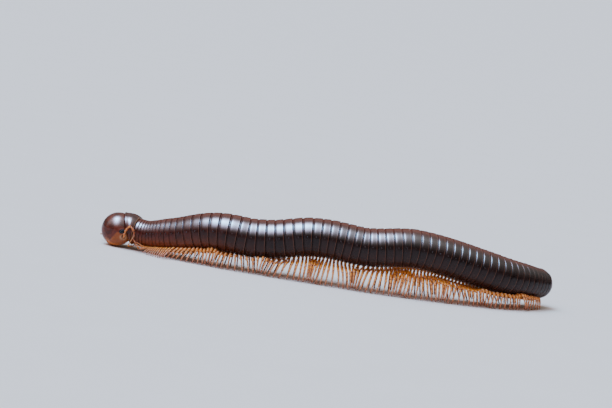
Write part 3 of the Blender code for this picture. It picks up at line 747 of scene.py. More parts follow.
# One ring's outline from its front edge to its hind edge: shares of the pitch, and heights above the ring's
# full radius, in steps. The fore part slips under the ring before it, a seam parts it from the hind part,
# and the hind part swells to a rounded edge.
RING_SHARES = np.array(
    (0.0, 0.02, 0.07, 0.12, 0.15, 0.165, 0.19, 0.25, 0.42, 0.62, 0.80, 0.90, 0.95, 0.978, 0.992, 1.0)
)
RING_LIFTS = np.array(
    (-1.0, -0.80, -0.58, -0.46, -0.56, -0.53, -0.22, -0.06, 0.04, 0.09, 0.13, 0.16, 0.20, 0.22, 0.12, -0.60)
)
RING_VARIATION = 0.004
TRUNK_COLUMNS = 90
TRUNK_NODES = [f"trunk_{length}" for length in range(1, 9)]


def flat_share(angle):
    """The radius as a share of the full one: under the belly it is less, by the sine to the fourth."""
    return 1.0 - BELLY_FLAT * np.clip(-np.sin(angle), 0.0, 1.0) ** 4


def make_trunk():
    """All the rings as one skin, with U counting rings and V running round from under the belly.

    A row's radius is the ring's, varied a little, plus the outline's lift in steps of depth.
    """
    draw = np.random.default_rng(11)
    rings = RINGS[:-1, None]
    along = on_ring(rings, RING_SHARES).reshape(-1)
    step = RING_STEP * between(LEAST_STEP_SHARE, 1.0, np.minimum(1.0, RING_PITCHES[:-1] / BODY_PITCH))
    varied = RING_RADII[:-1] * (1.0 + RING_VARIATION * draw.uniform(-1.0, 1.0, len(rings)))
    radius = (varied[:, None] + step[:, None] * RING_LIFTS).reshape(-1)
    centre, _, left, up = axis_frames(along)
    turns = corner_angles(TRUNK_COLUMNS, start=-np.pi / 2)
    rows = rows_about(centre, left, up, radius[:, None] * flat_share(turns), turns)
    number = (rings + np.clip(RING_SHARES, 0.001, 0.999)).reshape(-1)
    put_tubes("trunk_rings", rows[None], number, "trunk_cuticle", TRUNK_FINISH, *TRUNK_NODES)


PORE_RINGS = (6, 59)
PORE_AT = 0.50
PORE_ANGLE = math.radians(9.0)
PORE_RIM = 0.00020
PORE_SIDES = 14
PORE_PROFILE = np.array(((1.45, -0.30), (1.15, 0.16), (0.85, 0.34), (0.55, 0.22), (0.35, -0.10)))


def make_pores():
    """A defence pore on each flank of every ring from the sixth: a low rim round a dark pit.

    Each is a turned profile, radius and height, on the ring's surface.
    """
    along = on_ring(np.arange(PORE_RINGS[0], PORE_RINGS[1] + 1), PORE_AT)
    centre, tailward, left, up = axis_frames(along)
    scale = PORE_RIM * np.clip(radius_at(along) / BODY_RADIUS, 0.7, 1.0)[:, None]
    parts = []
    for angle in (PORE_ANGLE, np.pi - PORE_ANGLE):
        outward = math.cos(angle) * left + math.sin(angle) * up
        place = centre + outward * (radius_at(along) * flat_share(angle))[:, None]
        centres = place[:, None] + outward[:, None] * (PORE_PROFILE[:, 1] * scale)[..., None]
        radii = PORE_PROFILE[:, 0] * scale
        rows = rows_round(centres, outward[:, None], tailward[:, None], radii, PORE_SIDES)
        parts.append(closed_tubes(rows, np.linspace(0, 1, len(PORE_PROFILE))))
    finish(put_mesh("defence_pores", *join(parts)), "trunk_cuticle", PORE_FINISH, *TRUNK_NODES)


# Legs

LEG_COLUMNS = 8
# One leg piece's outline: share of its length, and width as a share of the leg's own.
PIECE_OUTLINE = np.array(((0.0, 0.70), (0.10, 0.88), (0.45, 1.0), (0.82, 1.06), (0.96, 0.98), (1.0, 0.70)))
# The leg's own width at shares of its length, as a share of its root's.
LEG_TAPER_AT = (0.0, 0.25, 0.47, 0.75, 1.0)
LEG_TAPER = (1.0, 1.18, 1.10, 0.78, 0.48)
# The crowded neck has more legs than the solids, and thinner.
NECK_LEG_THINNING = 0.20
RINGS_OF_THINNING = (8.0, 12.0)
SHIN_BOW = 0.00042
ROUNDING = 0.035
JOINT_OVERLAP = 1e-4
CLAW_LENGTH = 0.00042
CLAW_SHARE = 0.62
CLAW_DROP = CLAW_LENGTH * CLAW_SHARE
CLAW_FORWARD = 0.35
CLAW_RADIUS = 0.00011
CLAW_SUNK = 0.00004
CLAW_TAPER = np.array([1.0, 0.95, 0.72, 0.42, 0.10])
CLAW_FLOOR = 0.00001


def leg_table():
    """Ring, distance along the axis, place in the wave and foot's draw of every leg pair, for each side.

    Behind the neck the pairs are the solids' own, with the same draws in the same order. In the neck there
    are two pairs to a ring from the fifth, and their places in the wave lie between the solids'.
    """
    single = np.arange(FIRST_RING, FIRST_RING_OF_TWO_PAIRS)
    double = np.arange(FIRST_RING_OF_TWO_PAIRS, LAST_RING - LEGLESS_LAST_RINGS + 1)
    rings = np.concatenate([single, np.repeat(double, 2)])
    shares = np.concatenate([np.full(len(single), SINGLE_PAIR_AT), np.tile(PAIRS_AT, len(double))])
    neck_rings = FIRST_SOLID_RING_OF_TWO_PAIRS - FIRST_RING
    neck = np.count_nonzero(rings < FIRST_SOLID_RING_OF_TWO_PAIRS)
    rear = len(rings) - neck
    places = (rings - FIRST_RING + shares - SINGLE_PAIR_AT)[:neck]
    places = np.concatenate([places, neck_rings + np.arange(rear)])
    solid_draws = np.random.default_rng(7).uniform(-1.0, 1.0, (neck_rings + rear, 2))[neck_rings:]
    own_draws = np.random.default_rng(8).uniform(-1.0, 1.0, (neck, 2)) * 0.5
    return rings, on_ring(rings, shares), places, np.concatenate([own_draws, solid_draws])


def knee_points(hip, foot, pole, upper, lower):
    """Where two lengths from hip and foot meet, towards the pole, lengthened where they would not reach."""
    line = foot - hip
    reach = np.linalg.norm(line, axis=1)
    grow = np.maximum(1.0, LEG_BEND * reach / (upper + lower))
    upper, lower = upper * grow, lower * grow
    direction = line / reach[:, None]
    share = (upper**2 - lower**2 + reach**2) / (2 * reach)
    height = np.sqrt(np.maximum(upper**2 - share**2, 0.0))
    pole = pole - dot(pole, direction) * direction
    return hip + share[:, None] * direction + height[:, None] * unit(pole)


def leg_joints(side):
    """Each leg's ring, its joints root, hip, knee and foot, its size and thickness, and two directions.

    The directions are the body's to the tail and the one that the knee is drawn towards. A foot is set
    wider, step by step, while its leg would touch the body.
    """
    rings, along, place, draws = leg_table()
    centre, tailward, left, up = axis_frames(along)
    lateral = left * side
    size = between(NECK_LEG_SCALE, 1.0, ease(rings, *RINGS_OF_GROWTH))
    size -= TAIL_LEG_SHORTER * ease(rings, *RINGS_OF_SHRINKING)
    radius = radius_at(along)
    root = centre - up * (radius * (1.0 - BELLY_FLAT) - ROOT_SINK)[:, None] + lateral * ROOT_SPREAD
    out = HIP_SPREAD * size
    below = np.sqrt(radius**2 - out**2) + HIP_BELOW * size
    hip = centre - up * below[:, None] + lateral * out[:, None]
    phase = 2 * np.pi * place / LEGS_PER_WAVE + WAVE_START
    lift = FOOT_LIFT * np.maximum(0.0, np.sin(phase) - LIFT_FROM) * ease(rings, *RINGS_OF_LIFT)
    lift = lift + NECK_LEG_RAISE * (1.0 - ease(rings, *RINGS_OF_RAISE))
    room = RING_PITCHES[rings - FIRST_RING] / BODY_PITCH
    shift = SWING * room * np.cos(phase) - NECK_LEG_FAN * (1.0 - ease(rings, *RINGS_OF_FAN))
    shift = shift + room * FOOT_JITTER * draws[:, 0 if side > 0 else 1]
    shift = np.maximum(shift, COLLUM_LENGTH + COLLUM_TO_LEG - along)
    low = 1.0 - ease(clearance(along), *LOW_BELLY)
    spread = (FOOT_SPREAD + FOOT_SPREAD_LOW * low) * between(SPREAD_OF_SMALLEST, 1.0, size)
    pole = lateral + np.array([0.0, 0.0, KNEE_RISE])
    level = tailward * np.array([1.0, 1.0, 0.0])
    for _ in range(SPREAD_ROUNDS):
        foot = centre + lateral * spread[:, None] + level * shift[:, None]
        foot[:, 2] = lift
        knee = knee_points(hip, foot, pole, UPPER_LEG * size, LOWER_LEG * size)
        offset = np.stack([knee, foot]) - centre
        far = np.linalg.norm(offset - dot(offset, tailward) * tailward, axis=-1).min(axis=0)
        crowded = (far <= radius + KNEE_CLEARANCE) & (spread <= FOOT_SPREAD_MOST)
        spread = spread + FOOT_SPREAD_STEP * crowded
    thick = between(NECK_LEG_THICKNESS, 1.0, ease(rings, *RINGS_OF_THICKENING))
    thick = thick * between(1.0 - NECK_LEG_THINNING, 1.0, ease(rings, *RINGS_OF_THINNING))
    return rings, np.stack([root, hip, knee, foot], axis=1), size, thick, tailward, unit(pole)


def leg_lines(stops, size, outward):
    """The legs' middle lines, as points at the shares of a leg where its rows lie.

    The line runs root, hip, knee and foot in straight stretches, and ends above the foot by the claw's
    drop. A bow lifts the shin, and each bend is rounded a little by averaging the line with a shifted copy
    of itself on either side.
    """
    stops = stops + np.array([0.0, 0.0, 0.0, CLAW_DROP])[:, None] * np.array([0.0, 0.0, 1.0])
    spans = np.diff(LEG_PIECES)
    shares = (LEG_PIECES[:-1, None] + spans[:, None] * PIECE_OUTLINE[:, 0]).reshape(-1)
    shares = shares + np.tile(np.linspace(-JOINT_OVERLAP, JOINT_OVERLAP, len(PIECE_OUTLINE)), len(spans))
    marks = np.array([0.0, LEG_PIECES[1], LEG_PIECES[3], 1.0])

    def points_at(at):
        piece = np.clip(np.searchsorted(marks, at, side="right") - 1, 0, 2)
        t = ((at - marks[piece]) / (marks[piece + 1] - marks[piece]))[None, :, None]
        return stops[:, piece] * (1 - t) + stops[:, piece + 1] * t

    near, far = (np.clip(shares + move, 0.0, 1.0) for move in (-ROUNDING, ROUNDING))
    line = (points_at(near) + 2 * points_at(shares) + points_at(far)) / 4
    line[:, -1] = stops[:, -1]
    bow = np.sin(np.pi * np.clip((shares - marks[2]) / (1.0 - marks[2]), 0.0, 1.0))
    return line + (SHIN_BOW * size[:, None] * bow)[..., None] * outward[:, None], shares


def make_legs(side, word, bounds):
    """Legs of one side as jointed tapering tubes, in one piece for each stretch of the body."""
    rings, stops, size, thick, tailward, outward = leg_joints(side)
    line, shares = leg_lines(stops, size, outward)
    directions = unit(np.gradient(line, axis=1))
    taper = np.interp(shares, LEG_TAPER_AT, LEG_TAPER) * LEG_ROOT_RADIUS
    outline = np.tile(PIECE_OUTLINE[:, 1], len(LEG_PIECES) - 1)
    radii = taper * outline * (thick * between(0.9, 1.0, size))[:, None]
    rows = rows_round(line, directions, tailward[:, None], radii, LEG_COLUMNS)
    for number, (first, last) in enumerate(bounds, start=1):
        pick = (rings >= first) & (rings <= last)
        name = f"legs_{word}_{number}"
        put_tubes(name, rows[pick], shares, "leg_cuticle", LEG_FINISH, f"trunk_{number}")
    make_claws(line[:, -1], directions[:, -1], tailward, size * thick, word)
    picks = np.array([np.abs(shares - at).argmin() for at in BRISTLES_AT])
    place, way = (values[:, picks].reshape(-1, 3) for values in (line, directions))
    hint = np.repeat(tailward, len(picks), axis=0)
    draw = np.random.default_rng(21 if word == "left" else 22)
    thick = radii[:, picks].reshape(-1)
    name = f"leg_bristles_{word}"
    put_limb_bristles(name, "leg_cuticle", draw, place, way, hint, thick, LEG_BRISTLES)


def make_claws(tip, direction, tailward, size, word):
    """One claw at the end of each leg: a pointed tube along a short arc that curves down to the floor."""
    t = np.linspace(0.0, 1.0, len(CLAW_TAPER))
    level = direction * np.array([1.0, 1.0, 0.0])
    level = level / np.maximum(np.linalg.norm(level, axis=1, keepdims=True), 1e-6)
    down = np.array([0.0, 0.0, -1.0])
    centres = (tip - direction * CLAW_SUNK)[:, None] + down * (CLAW_DROP * t)[:, None]
    centres = centres + level[:, None] * (CLAW_FORWARD * CLAW_DROP * np.sin(t * np.pi / 2))[:, None]
    ways = unit(np.gradient(centres, axis=1))
    rows = rows_round(centres, ways, tailward[:, None], CLAW_RADIUS * size[:, None] * CLAW_TAPER, 6)
    put_tubes(f"claws_{word}", above_floor(rows, CLAW_FLOOR), t, "claw", CLAW_FINISH)


# Bristles: the length and its least and most shares, the half width at the root and the share of it at the
# tip, how far it leans towards the limb's tip, the share of the limb's radius at which it starts, and the
# share of its length where its middle point lies.
LEG_BRISTLES = (0.00038, (0.6, 1.1), 0.000016, 0.15, 0.7, 0.80, 0.55)
FEELER_BRISTLES = (0.00026, (0.6, 1.2), 0.000012, 0.2, 1.1, 0.85, 0.5)
BRISTLES_AT = (0.30, 0.44, 0.58, 0.70, 0.80, 0.88, 0.94)
BRISTLE_FLOOR = 0.00006
BRISTLE_NARROWING = 0.7


def put_bristles(name, slot, centres, ways, hints, width, tip, sides):
    """A piece of bristles, each a spike through three points, kept clear of the floor."""
    widths = width * np.array([1.0, BRISTLE_NARROWING, tip])
    rows = rows_round(above_floor(centres, BRISTLE_FLOOR), ways, hints, widths, sides)
    put_tubes(name, rows, (0.0, 0.5, 1.0), slot, BRISTLE_FINISH)


def put_limb_bristles(name, slot, draw, place, way, hint, radius, kind):
    """Sparse bristles on a limb: one at each place, turned round it at random, leaning towards its tip."""
    longest, lengths, width, tip, leaning, start, middle = kind
    across = unit(hint - dot(hint, way) * way)
    turn = draw.uniform(0.0, 2 * np.pi, len(place))[:, None]
    out = np.cos(turn) * across + np.sin(turn) * np.cross(way, across)
    length = longest * draw.uniform(*lengths, len(place))[:, None, None]
    lean = unit(out + leaning * way)
    base = place + out * (radius * start)[:, None]
    centres = base[:, None] + lean[:, None] * length * np.array([0.0, middle, 1.0])[:, None]
    put_bristles(name, slot, centres, lean[:, None], np.cross(lean, way)[:, None], width, tip, 3)


PLATE_PROFILE = np.array(((1.0, 0.30), (1.0, -0.10), (0.86, -0.42), (0.55, -0.58), (0.20, -0.62)))
PLATE_HALF_LENGTH = 0.23
PLATE_HALF_WIDTH = 0.0019
PLATE_DEPTH = 0.00055
PLATE_SIDES = 18


def make_belly_plates():
    """A low plate under the body at each leg pair, between the leg bases: a dome on an oval outline."""
    rings, along, _, _ = leg_table()
    centre, tailward, left, up = axis_frames(along)
    radius = radius_at(along)
    low = centre - up * (radius * (1.0 - BELLY_FLAT))[:, None]
    long = (PLATE_HALF_LENGTH * RING_PITCHES[rings - FIRST_RING])[:, None] * tailward
    wide = (PLATE_HALF_WIDTH * np.clip(radius / BODY_RADIUS, 0.6, 1.0))[:, None] * left
    turns = corner_angles(PLATE_SIDES, offset=0.5)
    reach = PLATE_PROFILE[:, 0, None]
    rows = low[:, None, None] + (reach * np.cos(turns))[..., None] * wide[:, None, None]
    rows = rows + (reach * np.sin(turns))[..., None] * long[:, None, None]
    rows = rows + (PLATE_PROFILE[:, 1, None, None] * PLATE_DEPTH) * up[:, None, None]
    put_tubes("belly_plates", rows, np.linspace(0, 1, len(PLATE_PROFILE)), "leg_cuticle", PLATE_FINISH)


# Head

def head_frame():
    """Centre of the head, and its forward, left and up directions: the neck's, turned left and nodded."""
    front, tailward, left, up = axis_frames(0.0)
    turn = math.radians(HEAD_TURN)
    behind = tailward * math.cos(turn) - left * math.sin(turn)
    left = np.cross(behind, up)
    pitch = math.radians(HEAD_PITCH)
    forward = unit(-behind * math.cos(pitch) - up * math.sin(pitch))
    upward = np.cross(forward, left)
    upward = upward if upward[2] > 0 else -upward
    return front + forward * (HEAD_BACK_DEPTH + GAP), forward, left, upward


def in_head(points):
    """Points of the head's own frame, set in place."""
    centre, forward, left, up = head_frame()
    return centre + np.asarray(points) @ np.array([forward, left, up])


def bump(depth, side, height, at, width):
    """Smooth hill of height 1 round a point: exp of minus the squared distance over the squared width."""
    far = (depth - at[0]) ** 2 + (side - at[1]) ** 2 + (height - at[2]) ** 2
    return np.exp(-far / width**2)


def groove(value, width):
    """A smooth line of height 1 where a value passes 0."""
    return np.exp(-((value / width) ** 2))


def head_form(polar, around):
    """The solids' head surface: an egg narrowed to the lip, with a dropped underside, cheeks and notch."""
    across = np.sin(polar)
    side = across * np.cos(around)
    height = across * np.sin(around)
    depth = np.cos(polar)
    low = np.clip(-height, 0.0, 1.0)
    narrowing = FACE_NARROWING * low**1.5 * np.clip(depth - NARROW_FROM_DEPTH, 0.0, 1.0)
    x = depth * np.where(depth > 0, HEAD_FRONT_DEPTH, HEAD_FRONT_DEPTH * HEAD_BACK_SHARE)
    y = side * HEAD_SIDE * (1.0 - narrowing)
    z = height * np.where(height > 0, HEAD_TOP, HEAD_BOTTOM)
    mirrored = np.abs(side)
    angle = np.minimum(np.degrees(np.arctan2(height, depth)), 90.0)
    under = ease(LIP_ANGLE - angle, 0.0, LIP_SOFTNESS)
    swell = -LIP_DROP * under * (1.0 - ease(mirrored, MOUTH_HALF_WIDTH, MOUTH_HALF_WIDTH + EDGE_WIDTH))
    # Off the middle plane the angle turns faster, so the cheek's upper edge is drawn out to keep its width.
    radial = np.hypot(depth, height)
    below_top = ease((CHEEK_TOP_ANGLE - angle) * radial, 0.0, EDGE_TURN) * ease(radial, 0.22, 0.55)
    swell = swell + CHEEK_RISE * ease(mirrored, CHEEK_FRONT, CHEEK_FRONT + EDGE_WIDTH) * below_top
    lip = (math.cos(math.radians(LIP_ANGLE)), 0.0, math.sin(math.radians(LIP_ANGLE)))
    above = (lip[0] + SWELL_ABOVE_LIP[0], 0.0, lip[2] + SWELL_ABOVE_LIP[1])
    swell = swell + LIP_SWELL * bump(depth, mirrored, height, above, SWELL_WIDTH) * (1.0 - under)
    swell = swell - LIP_NOTCH * bump(depth, mirrored, height, lip, NOTCH_WIDTH)
    outward = np.stack([depth, side, height], axis=-1)
    return np.stack([x, y, z], axis=-1) + swell[..., None] * outward, outward, angle


def head_place(direction, side):
    """Point and outward direction on the head's surface where a direction from its centre leaves it."""
    forward, across, up = direction
    polar = math.acos(forward / math.sqrt(forward**2 + across**2 + up**2))
    around = math.atan2(up, across * side)
    step = 0.02
    spots, _, _ = head_form(polar + step * np.array([0, 1, 0]), around + step * np.array([0, 0, 1]))
    here = spots[0]
    normal = unit(np.cross(spots[1] - here, spots[2] - here))
    return here, normal if np.dot(normal, here) > 0 else -normal


SLEEVE_LENGTH = 0.0007
SLEEVE_SHARE = 0.93
HEAD_COLUMNS = 340
HEAD_ROWS = 200
ROW_CROWDING = 0.55
ROW_CROWD_AT = 0.54

# Heights and depths of the head's fine forms.
CROWN_DEPTH = 0.00005
LIP_LINE_DEPTH = 0.00007
LIP_EDGE_RISE = 0.00010
TOOTH_RISE = 0.00028
TEETH_AT = (-0.055, 0.0, 0.055)
MOUTH_PLATE_DEPTH = 0.00008
PALP_RISE = 0.00025
JAW_LINE_DEPTH = 0.00010
SOCKET_RIM_RISE = 0.00016
SOCKET_RIM_WIDTH = 0.00020
EYE_RIM_RISE = 0.00006
EYE_RIM_WIDTH = 0.00016
EYE_BED_DEPTH = 0.00012


def head_detail(points, outward, angle):
    """Fine forms of the head, as heights along the outward direction, and the masks for its colours, one of
    which is painted shade in the grooves and the feelers' sockets.

    Grooves follow lines where a simple function of the face's angle and half width is 0: the seam of the
    crown, the line above the lip, the edges of the jaw plates and the plates under the mouth. Rims stand
    round the feelers' sockets and the eye patches.
    """
    depth, side, height = (outward[..., k] for k in range(3))
    mirrored = np.abs(side)
    radial = np.hypot(depth, height)

    crown = groove(side, 0.012) * ease(angle, 12.0, 30.0)
    lip_line = groove(angle - (-45.0 - 26.0 * mirrored**2), 1.6) * (1.0 - ease(mirrored, 0.42, 0.50))
    lip_end = 1.0 - ease(mirrored, MOUTH_HALF_WIDTH, MOUTH_HALF_WIDTH + 0.05)
    lip_edge = groove(angle - LIP_ANGLE, 2.2) * lip_end
    teeth = sum(groove(side - at, 0.020) for at in TEETH_AT) * groove(angle - (LIP_ANGLE + 1.5), 2.6)
    behind_lip = ease(LIP_ANGLE - angle, 2.0, 8.0)
    mouth_plates = groove(side, 0.014) * ease(-angle, 92.0, 100.0) + groove(mirrored - 0.20, 0.014)
    mouth_plates = mouth_plates * behind_lip * (1.0 - ease(mirrored, 0.42, 0.48))
    palps = bump(depth, mirrored, height, (0.30, 0.16, -0.94), 0.10) * behind_lip
    jaw_front = groove(mirrored - CHEEK_FRONT - 0.02, 0.016) * ease(CHEEK_TOP_ANGLE - angle, 0.0, 8.0)
    jaw_top = groove((angle - (CHEEK_TOP_ANGLE - 4.0)) * radial, 1.4) * ease(radial, 0.45, 0.62)
    jaw_top = jaw_top * ease(mirrored, CHEEK_FRONT, CHEEK_FRONT + 0.06)
    jaw_split = groove(depth + 0.16 + 0.35 * (mirrored - 0.7), 0.018)
    jaw_split = jaw_split * ease(mirrored, 0.52, 0.60) * ease(-height, 0.25, 0.40)
    jaws = 0.9 * jaw_front + 0.7 * jaw_top + 0.8 * jaw_split
    rise = LIP_EDGE_RISE * lip_edge + TOOTH_RISE * teeth + PALP_RISE * palps
    rise = rise - CROWN_DEPTH * crown - LIP_LINE_DEPTH * lip_line
    rise = rise - MOUTH_PLATE_DEPTH * mouth_plates - JAW_LINE_DEPTH * jaws
    # Painted shade: the grooves are laid dark through this mask.
    seam = 0.5 * crown + 0.45 * lip_line + 0.6 * mouth_plates + 0.6 * jaws

    for sign in (1, -1):
        socket, _ = head_place(SOCKET_DIRECTION, sign)
        far = np.linalg.norm(points - socket, axis=-1) / SOCKET_RADIUS
        rise += SOCKET_RIM_RISE * groove(far - 1.18, SOCKET_RIM_WIDTH / SOCKET_RADIUS)
        rise -= SOCKET_DEPTH * 0.85 * (1.0 - ease(far, 0.62, 1.02))
        # Painted shade in the socket's pit.
        seam += 0.8 * (1.0 - ease(far, 0.75, 1.0))
        eye, _ = head_place(EYE_DIRECTION, sign)
        far = np.linalg.norm((points - eye) / np.array([EYE_LENGTH, EYE_HEIGHT, EYE_HEIGHT]), axis=-1)
        rise += EYE_RIM_RISE * groove(far - 0.66, EYE_RIM_WIDTH / EYE_HEIGHT)
        rise -= EYE_BED_DEPTH * (1.0 - ease(far, 0.36, 0.58))

    amber = 0.92 * ease(-angle, 8.0, 46.0) * (1.0 - ease(mirrored, 0.62, 0.85))
    amber = amber * (1.0 - 0.55 * ease(-angle, 70.0, 100.0))
    amber = np.maximum(amber, 0.35 * ease(mirrored, 0.55, 0.75) * ease(-angle, 30.0, 50.0))
    socket, _ = head_place(SOCKET_DIRECTION, 1)
    folded = np.where([False, True, False], np.abs(points), points)
    near = np.linalg.norm(folded - socket, axis=-1)
    pale = 0.55 * (1.0 - ease(near, 0.0008, 0.0021)) * (1.0 - ease(height, -0.34, -0.12))
    pale = np.maximum(pale, 0.6 * behind_lip * (1.0 - ease(mirrored, 0.40, 0.48)))
    return rise, amber, pale, np.clip(seam, 0, 1)


def with_ends(rows):
    """Values of closed_tubes' points from values on the grid: each end's middle has its row's mean."""
    return np.concatenate([rows.reshape(-1), [rows[0].mean(), rows[-1].mean()]])


def put_masks(piece, grid, **masks):
    """Stores each mask's value at every point of a piece's grid, and 0 for a mask that is not given."""
    for name in MASKS:
        values = with_ends(np.broadcast_to(masks.get(name, 0.0), grid))
        layer = piece.data.attributes.new(name, "FLOAT", "POINT")
        layer.data.foreach_set("value", values.astype(np.float32))


def make_head():
    """The head's skin on a grid of the angle off the face's middle and the angle round it.

    A narrower sleeve runs on from the back into the collar, so that no light passes the joint.
    """
    back = math.acos(-HEAD_BACK_DEPTH / (HEAD_FRONT_DEPTH * HEAD_BACK_SHARE))
    share = np.linspace(0.012, 1.0, HEAD_ROWS)[:, None]
    turn = 2 * np.pi
    crowding = np.sin(turn * (share - ROW_CROWD_AT)) + np.sin(turn * ROW_CROWD_AT)
    polar = back * (share - ROW_CROWDING * crowding / turn)
    points, outward, angle = head_form(*np.broadcast_arrays(polar, corner_angles(HEAD_COLUMNS)))
    rise, *masks = head_detail(points, outward, angle)
    points = points + rise[..., None] * unit(points)
    points[-1, :, 0] = -HEAD_BACK_DEPTH
    sleeve = points[-1:] * np.array([1.0, SLEEVE_SHARE, SLEEVE_SHARE])
    points = np.concatenate([points, sleeve, sleeve - np.array([SLEEVE_LENGTH, 0.0, 0.0])])
    masks = {name: np.concatenate([mask, mask[-1:], mask[-1:]]) for name, mask in zip(MASKS, masks)}
    share = np.linspace(0, 1, len(points))
    piece = put_tubes("head_capsule", in_head(points)[None], share, "head_cuticle", HEAD_FINISH, "head")
    put_masks(piece, points.shape[:2], **masks)


# Rows of bristles on the lip: how many, their half width on the face and their angle above the lip.
LIP_BRISTLE_ROWS = ((18, 0.40, 4.0), (6, 0.26, 17.0))
LIP_BRISTLE_LENGTH = 0.00055
LIP_BRISTLE_WIDTH = 0.000024


def make_lip_bristles():
    """A row of bristles along the upper lip, and a few on the face above it."""
    draw = np.random.default_rng(31)
    side = np.concatenate([np.linspace(-half, half, count) for count, half, _ in LIP_BRISTLE_ROWS])
    turn = np.concatenate([np.full(count, LIP_ANGLE + above) for count, _, above in LIP_BRISTLE_ROWS])
    turn = np.radians(turn + draw.uniform(-1.0, 1.0, len(side)))
    across = np.sqrt(1.0 - side**2)
    polar = np.arccos(across * np.cos(turn))
    points, outward, _ = head_form(polar, np.arctan2(across * np.sin(turn), side))
    lean = unit(outward + np.array([0.2, 0.0, -1.0]))
    length = LIP_BRISTLE_LENGTH * draw.uniform(0.7, 1.1, len(side))[:, None, None]
    centres = in_head(points[:, None] + lean[:, None] * length * np.array([-0.1, 0.55, 1.0])[:, None])
    centres = above_floor(centres, BRISTLE_FLOOR)
    ways = unit(np.gradient(centres, axis=1))
    hint = np.array([0.3, 1.0, 0.2])
    put_bristles("lip_bristles", "head_cuticle", centres, ways, hint, LIP_BRISTLE_WIDTH, 0.15, 4)


LENS_ROWS = (8, 8, 7, 7, 6, 5, 4)
LENS_RADIUS = 0.000125
LENS_SIDES = 12
LENS_SPREAD = 0.80
LENS_PROFILE = np.array(((1.0, -1.2), (0.98, 0.10), (0.80, 0.55), (0.48, 0.86), (0.14, 0.99)))
PATCH_RISE = 0.00010
PATCH_CURVE = 14.0
PAD_SHARE = 0.52
PAD_SIDES = 28
PAD_LOBES = 0.10
PAD_PROFILE = ((1.0, -0.00030), (1.0, -0.00004), (0.90, 0.00006), (0.5, 0.00012), (0.1, 0.00014))


def make_eye(side, word):
    """An eye patch: rows of lens domes on a dark pad, on the cheek above the feeler's socket.

    The domes stand on a bulge whose height falls with the squared distance from the patch's middle.
    """
    here, normal = head_place(EYE_DIRECTION, side)
    back = unit(np.cross(normal, (0.0, 0.0, 1.0))) * side
    up = unit(np.cross(back, normal))
    up = up if up[2] > 0 else -up
    levels = np.linspace(0.5, -0.5, len(LENS_ROWS)) * EYE_HEIGHT * LENS_SPREAD
    high = np.repeat(levels, LENS_ROWS)
    wide = np.concatenate([np.linspace(-0.5, 0.5, count) * count for count in LENS_ROWS])
    wide = wide * EYE_LENGTH * LENS_SPREAD / max(LENS_ROWS)
    bulge = PATCH_RISE - PATCH_CURVE * (wide**2 + high**2)
    places = here + wide[:, None] * back + high[:, None] * up + normal * bulge[:, None]
    centres = places[:, None] + normal * (LENS_PROFILE[:, 1] * LENS_RADIUS)[:, None]
    rows = rows_round(centres, normal, back, LENS_PROFILE[:, 0] * LENS_RADIUS, LENS_SIDES)
    lenses = closed_tubes(in_head(rows), LENS_PROFILE[:, 1])
    turns = corner_angles(PAD_SIDES)
    reach = PAD_SHARE * (1.0 + PAD_LOBES * np.cos(3 * turns))
    outline = np.outer(reach * np.cos(turns) * EYE_LENGTH, back)
    outline = outline + np.outer(reach * np.sin(turns) * EYE_HEIGHT, up)
    pad = np.array([here + outline * share + normal * lift for share, lift in PAD_PROFILE])
    pad = closed_tubes(in_head(pad)[None], np.linspace(0, 1, len(PAD_PROFILE)))
    finish(put_mesh(f"eye_lenses_{word}", *join([lenses, pad])), "eye", LENS_FINISH, f"eye_{word}")


# Feelers

def smooth_route(points, steps=24):
    """A smooth curve through a few points by cubic pieces, and the distance run at each of its points."""
    padded = np.vstack([2 * points[0] - points[1], points, 2 * points[-1] - points[-2]])
    p0, p1, p2, p3 = (padded[k : k + len(points) - 1, None] for k in range(4))
    t = np.linspace(0.0, 1.0, steps)[None, :, None]
    square = 2 * p0 - 5 * p1 + 4 * p2 - p3
    cube = 3 * p1 - p0 - 3 * p2 + p3
    line = (0.5 * (2 * p1 + (p2 - p0) * t + square * t**2 + cube * t**3)).reshape(-1, 3)
    run = np.concatenate([[0.0], np.cumsum(np.linalg.norm(np.diff(line, axis=0), axis=1))])
    return line, run


# One feeler segment's outline: share of its length, and width as a share of the feeler's.
SEGMENT_OUTLINE = np.array(
    ((0.0, 0.56), (0.06, 0.66), (0.35, 0.78), (0.72, 1.0), (0.88, 1.04), (0.97, 0.90), (1.0, 0.58))
)
FEELER_COLUMNS = 20
FEELER_HINT = np.array([0.2, 1.0, 0.1])
CLUB_AT = (0.0, 0.2, 0.6, 0.84, 0.93, 1.0)
CLUB = (0.92, 0.90, 1.0, 1.06, 0.95, 0.60)
CONES = 4
CONE_SPREAD = 0.00011
CONE_HEIGHTS = np.array([-0.00006, 0.00008, 0.00016])
CONE_RADII = np.array([0.00006, 0.00005, 0.00001])
FEELER_BRISTLE_COUNT = 170


